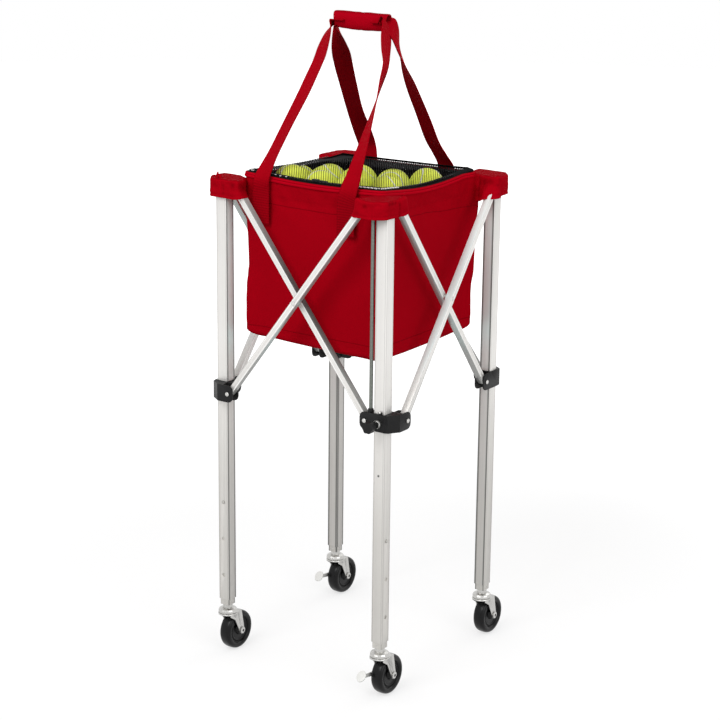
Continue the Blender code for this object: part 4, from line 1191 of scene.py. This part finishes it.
# soft hoods over the leg tops: millimetres from the front left leg's axis; the others are turned round from it
hoodLook = {
    "outline": [(-36, 35), (-36.2, 22), (-34.5, 4.5), (-29, -5), (-20.8, -15.5), (-13, -17.4), (15, -18.1),
                (25, -19.2), (35, -18.8), (42, -16.5), (43.2, -8), (42.4, 3), (38.5, 11), (34, 19),
                (30, 26.5), (26.5, 30), (19, 34), (8, 39.5), (-6, 42.8), (-23, 43.6), (-34, 41.5)],
    "around": 168, "rows": 16, "edgeRings": 4, "capRings": 8, "edge": 0.0040, "wall": 0.0012,
    "foot": {"front_left": 0.8868, "front_right": 0.8915, "rear_right": 0.8838, "rear_left": 0.8870},
    "top": {"front_left": 0.9200, "front_right": 0.9222, "rear_right": 0.9198, "rear_left": 0.9198},
    "barsLeave": 0.8868, "barsFade": 0.0225, "barsSlope": 70.652,
    # the marks give a place, a width and a strength; these are rises of the lower edge
    "rises": {
        "front_left": [(44, -5.2, 12.5, 2.6), (-22.8, 43, 12.5, 2)],
        "front_right": [(44, -5.2, 12.5, 1), (-22.8, 43, 12.5, 3.5), (42, -17, 6, 3)],
        "rear_right": [(44, -5.2, 12.5, 2), (21, 34, 33, -14), (-22.8, 43, 15, -2.4)],
        "rear_left": [(44, -5.2, 12.5, 2), (-22.8, 43, 12.5, 2)],
    },
    # where the bars that leave below push the cloth out
    "overBars": {
        "all": [(44, -5.2, 14, 9.2), (-22.8, 43, 14, 9.2)],
        "rear_right": [(-12.5, 43, 8, 6)],
    },
    # upright seams and creases
    "seams": {
        "front_left": [(5.5, -17.8, 1.3, 1.2), (-20.8, -15.5, 2, 1), (40, -17, 1.6, 1.2)],
        "front_right": [(16.6, -18.2, 1.6, 2.2), (-10, -17.6, 1.4, 0.8), (-35.8, 6, 1.8, 1.2)],
        "rear_right": [(-34, 41.5, 1.6, 0.8), (8, 39.5, 2.2, 1.8), (-26.2, -9.8, 8.5, 2.2)],
        "rear_left": [(5.5, -17.8, 1.3, 1)],
    },
    # dents and soft folds
    "dents": {
        "front_left": [(-12, -17.5, 905, 7, 1.8), (23, -19, 912, 6, 1.6), (-35.5, 20, 904, 8, 1)],
        "front_right": [(-36, 20.5, 911, 3.6, 3.4), (-30, -4, 917, 4.5, 2), (4, -17.6, 916, 6, 1.4),
                        (36, -18.5, 906, 6, -1.4)],
        "rear_right": [(8, 40, 908, 8, 2.6), (-34, 30, 912, 6, -0.8)],
        "rear_left": [(10, -18, 906, 9, 2), (-35.5, 20, 903, 7, 1.5)],
    },
    # where a fold keeps the light out, in thousandths
    "shades": {
        "front_left": [(44, -3, 905, 11, 750), (44, 6, 898, 10, 600), (10.9, -18, 910, 2.2, 600),
                       (10.9, -18, 903, 2.2, 600), (10.9, -18, 896, 2.2, 600), (33, -19, 913, 5, 600),
                       (-34, -6, 896, 6, 200)],
        "front_right": [(-36, 20.5, 911, 3, 800), (16.6, -18.2, 912, 2.6, 800), (16.6, -18.2, 906, 2.4, 800),
                        (16.6, -18.2, 900, 2.4, 900), (16.6, -18.2, 894, 3, 900), (-13, -17, 919, 4, 700),
                        (-5, -17.4, 919, 4, 800), (4, -17.6, 918, 3.4, 600), (-35.8, 36, 900, 5, 500)],
        "rear_right": [(-10, 43, 908.5, 7.5, 750), (-20, 43.6, 910.5, 6, 600), (4, 40, 904, 6, 700),
                       (7, 39.5, 893, 6, 750), (7, 39.5, 882, 6, 600), (-34.5, 41.5, 905, 2.4, 700)],
    },
    # folds that stand up on the top
    "peaks": {
        "front_left": [(-30, 6, 6, 1.6), (30, -12, 6, 1.2)],
        "front_right": [(33, -15, 5.5, 4.6), (20, -16, 4.5, 2), (-34.5, 36, 6, 5.2), (-33, 26, 6, 2)],
        "rear_right": [(-30, -2, 6.5, 1), (-33, 38, 6, 1.8)],
        "rear_left": [(-28, -2, 6.5, 0.6)],
    },
    # the two knots of cloth on the front left hood: place, half sizes and lean in degrees
    "knots": [((-12.7, -6, 920), (2.4, 2.1, 12), 12), ((-6, -4.5, 920), (3, 2.4, 6.6), -16)],
}


def evenOutline(points, count):
    # the outline's points at even steps of its length
    fine = [Vector(curvePoint(points, i / 1200, True)) for i in range(1201)]
    runs = [0.0]
    for a, b in zip(fine, fine[1:]):
        runs.append(runs[-1] + (b - a).length)
    spots, at = [], 0
    for i in range(count):
        want = runs[-1] * i / count
        while runs[at + 1] < want:
            at += 1
        part = (want - runs[at]) / max(runs[at + 1] - runs[at], 1e-9)
        spots.append(fine[at].lerp(fine[at + 1], part))
    return spots


def hoodMarks(kind, corner):
    # the marks of one kind at a corner, in metres
    return [(Vector(row[:-2]) / 1000, row[-2] / 1000, row[-1] / 1000) for row in hoodLook[kind].get(corner, [])]


def marked(marks, spot, power=2):
    return sum(strength * bell((spot - at).length, wide, power) for at, wide, strength in marks)


def makeHood(index, corner):
    look = hoodLook
    around, rows, edge = look["around"], look["rows"], look["edge"]
    edgeRings, capRings = look["edgeRings"], look["capRings"]
    foot, crown = look["foot"][corner], look["top"][corner]
    kinds = ("rises", "seams", "dents", "shades", "peaks")
    rises, seams, dents, shades, peaks = (hoodMarks(kind, corner) for kind in kinds)
    bars = hoodMarks("overBars", "all") + hoodMarks("overBars", corner)
    spots = evenOutline(metres(look["outline"]), around)
    outs = []
    for before, after in zip(spots[-1:] + spots, spots[1:] + spots[:1]):
        outs.append(Vector((after.y - before.y, before.x - after.x)).normalized())
    middle = sum(spots, Vector((0, 0))) / around
    seed = 3.7 * index
    bm = bmesh.new()
    for step, ring in enumerate(tube(bm, around, rows + edgeRings + capRings)):
        for vert, spot, out in zip(ring, spots, outs):
            if step <= rows:
                share = step / rows
                low = foot + marked(rises, spot, 4)
                z = low + (crown - edge - low) * share
                hem = 0.0007 * bell(share, 0.07) - 0.0006 * bell(share - 0.17, 0.05)
                crumple = 0.0016 * noise.noise((spot.x * 46 + seed, spot.y * 46, z * 52))
                crumple += 0.0007 * noise.noise((spot.x * 120 + seed, spot.y * 120, z * 150))
                height = z + 0.0012 * noise.noise((spot.x * 60, spot.y * 60, seed)) * (1 - share)
                # the bars that leave below push the cloth out, the further the lower
                past = z - look["barsLeave"]
                fade = 1 - ease(past / look["barsFade"]) + look["barsSlope"] * max(0.0, -past)
                stand = marked(bars, spot, 4) * fade
                here = spot + out * (hem + crumple * math.sin(math.pi * min(1.0, 0.1 + share * 0.8)) + stand)
            elif step <= rows + edgeRings:
                bend = (step - rows) / edgeRings * math.pi / 2
                here = spot - out * edge * (1 - math.cos(bend))
                height = crown - edge + edge * math.sin(bend)
            else:
                share = (step - rows - edgeRings) / capRings
                here = (spot - out * edge).lerp(middle, share)
                height = crown + 0.0004 * share
            for seam in seams:
                here = here - out * marked([seam], here)
            vert.co = Vector((here.x, here.y, height))
    for vert in bm.verts:
        for at, wide, depth in dents:
            gap = (vert.co - at).length
            way = Vector((middle.x, middle.y, vert.co.z)) - vert.co
            if gap < wide * 3 and way.length > 1e-6:
                vert.co += way.normalized() * depth * bell(gap, wide)
        up = clip((vert.co.z - crown + 0.010) / 0.010)
        rumple = 0.0010 * noise.noise((vert.co.x * 70 + seed, vert.co.y * 70, 5.1)) + marked(peaks, vert.co.xy)
        vert.co.z += max(rumple, 0.0) * up
    welded(bm)
    crease = bm.verts.layers.float.new("crease")
    for vert in bm.verts:
        shade = max([0.0] + [marked([mark], vert.co) for mark in shades])
        vert[crease] = shade * (0.85 + 0.3 * noise.noise(vert.co * 240))
    place = Matrix.Translation(legPlace(corner)) @ Matrix.Rotation(index * math.pi / 2, 4, "Z")
    bmesh.ops.transform(bm, matrix=place, verts=bm.verts)
    hood = addPiece("hood_" + corner, bm, "bag", ["red_cloth"])
    thickened(hood, look["wall"])
    subdivided(hood)


def makeKnots():
    bm = bmesh.new()
    for at, size, lean in hoodLook["knots"]:
        place = Matrix.Translation(legPlace("front_left") + Vector(at) / 1000)
        shape = Matrix.Rotation(math.radians(lean), 4, "Y") @ Matrix.Diagonal((*(Vector(size) / 1000), 1.0))
        for vert in bmesh.ops.create_icosphere(bm, subdivisions=3, radius=1.0, matrix=place @ shape)["verts"]:
            vert.co += Vector((1, 1, 0)) * 0.0006 * noise.noise(vert.co * 300)
    addPiece("hood_tips", bm, "bag", ["red_cloth"])


for index, corner in enumerate(corners):
    makeHood(index, corner)
makeKnots()
print("hoods made")


# rounded edges of the rigid parts: body, width in metres, segments and the angle past which an edge is rounded
edgeLook = {
    "leg_outer_": ("leg_", 0.0010, 2, 50), "leg_inner_": ("foot_", 0.0008, 2, 50),
    "slider_": ("slider_", 0.0009, 2, 50), "caster_fork_": ("swivel_", 0.0006, 2, 45),
    "bar_outer_": ("outer_bar_", 0.0008, 2, 50), "bar_inner_": ("inner_bar_", 0.0008, 2, 50),
    "brake_lever_": ("brake_", 0.0004, 2, 45), "lock_knob": ("lock_knob", 0.0011, 3, 40),
}


def makeEdges(ends, starts):
    # merged copies of CAD solids with rounded edges, which stand in for them
    for end in ends:
        for start in starts:
            body, width, segments, degrees = edgeLook[start]
            node = start + end
            bm = bmesh.new()
            bm.from_mesh(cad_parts[node].data)
            bmesh.ops.remove_doubles(bm, verts=bm.verts, dist=1e-5)
            bmesh.ops.dissolve_limit(bm, angle_limit=math.radians(1.0), verts=bm.verts, edges=bm.edges)
            piece = addPiece(node + "_detail", bm, body + end, [slotOf(node)], replaces=[node])
            rounded(piece, width, segments, degrees)


makeEdges(corners, ("leg_outer_", "leg_inner_", "slider_", "caster_fork_"))
makeEdges(sides, ("bar_outer_", "bar_inner_"))
makeEdges(("front_right", "rear_left"), ("brake_lever_",))
makeEdges(("",), ("lock_knob",))
print("edges rounded")


# a turned wheel: half its section in millimetres, along the axle and out from it
wheelLook = {
    "trail": 0.024, "height": 0.0375, "steps": 96,
    "half": [(13.4, 4.3), (13.4, 8.2), (12.9, 8.8), (9, 10), (7.8, 10.8), (7.6, 18.8), (8.3, 19.7),
             (9.2, 20.8), (9.3, 21.6), (8.4, 22.7), (7.6, 23.6), (7.6, 25.2), (10.2, 26.4), (11.4, 27.6),
             (11.9, 29.2), (11.9, 31.2), (11.5, 33.4), (10.4, 35.1), (8.6, 36.4), (6, 37.2), (3, 37.48),
             (0, 37.5)],
}


def hubPlace(corner):
    return legPlace(corner) + Vector((0, wheelLook["trail"], wheelLook["height"]))


def makeWheel(corner):
    half = metres(wheelLook["half"])
    profile = half + [(-along, radius) for along, radius in reversed(half[:-1])] + [half[0]]
    bm = spinProfile(profile, (1, 0, 0), hubPlace(corner), wheelLook["steps"])
    hardPiece("wheel_" + corner + "_detail", bm, "wheel_" + corner, ["wheel_black"], ["wheel_" + corner], 38)


# the axle's rounded head, with a dark square on its end: painted shade for its square recess
axleLook = {
    "radius": 0.0040, "head": 0.0064, "dome": 0.0006, "thick": 0.0015, "crown": 0.0004,
    "recess": (0.00345, 0.0030, 0.00048),
}


def makeAxle(corner):
    look = axleLook
    hub = hubPlace(corner)
    left, right = (end[0] - hub.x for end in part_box("axle_" + corner))
    radius, head, dome, thick, crown = (look[name] for name in ("radius", "head", "dome", "thick", "crown"))
    profile = [(left - crown, 0), (left - crown, head * 0.55), (left, head * 0.84), (left + dome, head),
               (left + thick, head), (left + thick, radius), (right - thick, radius), (right - thick, head),
               (right - dome, head), (right, head * 0.84), (right + crown, head * 0.62), (right + crown, 0)]
    recess = bmesh.new()
    place = Matrix.Translation(hub + Vector((right + crown, 0, 0)))
    turn = Matrix.Rotation(math.radians(90), 4, "Y") @ Matrix.Rotation(math.radians(20), 4, "Z")
    wide, narrow, deep = look["recess"]
    bmesh.ops.create_cone(recess, cap_ends=True, segments=4, radius1=wide, radius2=narrow, depth=deep,
                          matrix=place @ turn)
    bm = joined(spinProfile(profile, (1, 0, 0), hub, 32), painted(recess))
    hardPiece("axle_" + corner + "_detail", bm, "swivel_" + corner, ["bright_zinc", "black_nylon"],
              ["axle_" + corner])


def domeAt(spot, facing, radius, height):
    # a rivet's low head
    profile = [(-0.0006, 0), (-0.0006, radius), (height * 0.25, radius), (height * 0.7, radius * 0.80),
               (height * 0.95, radius * 0.45), (height, 0)]
    return spinProfile(profile, facing, spot, 24)


# pins of the sliding brackets, in a corner's own frame: where the head ends and which way it faces;
# and pressed dots that hold the insert's foot
rivetLook = {
    "radius": 0.0041, "height": 0.0013, "dot": 0.0015, "dotHeight": 0.0004, "dotsAt": 0.1035,
    "pins": [((0.0290, -0.0343, 0.526), (0, -1, 0)), ((-0.0168, 0.0290, 0.526), (-1, 0, 0))],
}


def makeRivets(index, corner):
    look = rivetLook
    turn = Matrix.Rotation(math.radians(90 * index), 3, "Z")
    leg = legPlace(corner)
    heads = []
    for spot, facing in look["pins"]:
        heads.append(domeAt(leg + turn @ Vector(spot), turn @ Vector(facing), look["radius"], look["height"]))
    hardPiece("slider_rivets_" + corner, joined(*heads), "slider_" + corner, ["bright_zinc"], degrees=60)
    low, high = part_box("leg_inner_" + corner)
    reach = (high[0] - low[0]) / 2
    dots = []
    for x, y in ((1, 0), (-1, 0), (0, -1), (0, 1)):
        spot = leg + Vector((x * reach, y * reach, look["dotsAt"]))
        dots.append(domeAt(spot, (x, y, 0), look["dot"], look["dotHeight"]))
    hardPiece("crimps_" + corner, joined(*dots), "foot_" + corner, ["bright_zinc"], degrees=60)


# the lock at the nearest slider: bright collar, ribbed rod with its black foot, and catch
lockLook = {
    "axis": (0.1760, -0.1760, 0.5250), "rod": (0.1570, -0.1860, 0), "rodRadius": 0.0033, "rodStart": 0.5485,
    # sections in millimetres
    "collar": [(15.7, 4.6), (15.7, 7.2), (16.2, 7.6), (20.5, 7.6), (21, 7.2), (22.8, 7.2), (23.3, 6.6), (24, 5.2),
               (24, 4.6), (15.7, 4.6)],
    "foot": [(542.5, 0), (542.5, 4.6), (543, 5), (548, 5), (549, 4.2), (549, 0)],
    "hole": [(0.1, 0), (0.1, 1.7), (0.4, 1.7), (0.4, 0)],
    "catch": (0.1800, -0.1902, 0.5440), "catchSize": (0.0070, 0.0036, 0.0050),
    "catchPin": (0.1798, -0.1920, 0.5462),
    "parkHole": (0.1760, -0.1875, 0.4276),
}


def makeLock():
    look = lockLook
    up, front = (0, 0, 1), (0, -1, 0)
    both = ["bright_zinc", "black_nylon"]
    collar = spinProfile(metres(look["collar"]), front, look["axis"], 40)
    hardPiece("lock_collar", collar, "lock_knob", ["bright_zinc"])
    end, start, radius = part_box("lock_rod")[1][2], look["rodStart"], look["rodRadius"]
    profile = [(start, 0), (start, radius), (end - 0.001, radius), (end, radius * 0.7), (end, 0)]
    rod = spinProfile(profile, up, look["rod"], 20)
    foot = painted(spinProfile(metres(look["foot"]), up, look["rod"], 28))
    hardPiece("lock_rod_detail", joined(rod, foot), "slider_front_right", ["grey_rod", "black_nylon"],
              ["lock_rod"])
    block = bmesh.new()
    shape = Matrix.Translation(look["catch"]) @ Matrix.Diagonal((*look["catchSize"], 1.0))
    bmesh.ops.create_cube(block, size=1.0, matrix=shape)
    bmesh.ops.bevel(block, geom=block.edges[:], offset=0.0004, segments=2, profile=0.5, affect="EDGES", material=-1)
    pin = domeAt(look["catchPin"], (0, -1, 0.35), 0.0022, 0.0012)
    hardPiece("lock_catch", joined(pin, painted(block)), "slider_front_right", both)
    # the hole that takes the spring pin when the frame is closed, drawn as a dark disc: painted shade
    rim = domeAt(look["parkHole"], front, 0.0029, 0.00035)
    hole = painted(spinProfile(metres(look["hole"]), front, look["parkHole"], 20))
    hardPiece("park_hole", joined(rim, hole), "leg_front_right", both)


for index, corner in enumerate(corners):
    makeWheel(corner)
    makeAxle(corner)
    makeRivets(index, corner)
makeLock()
print("wheels, axles, rivets and lock made")
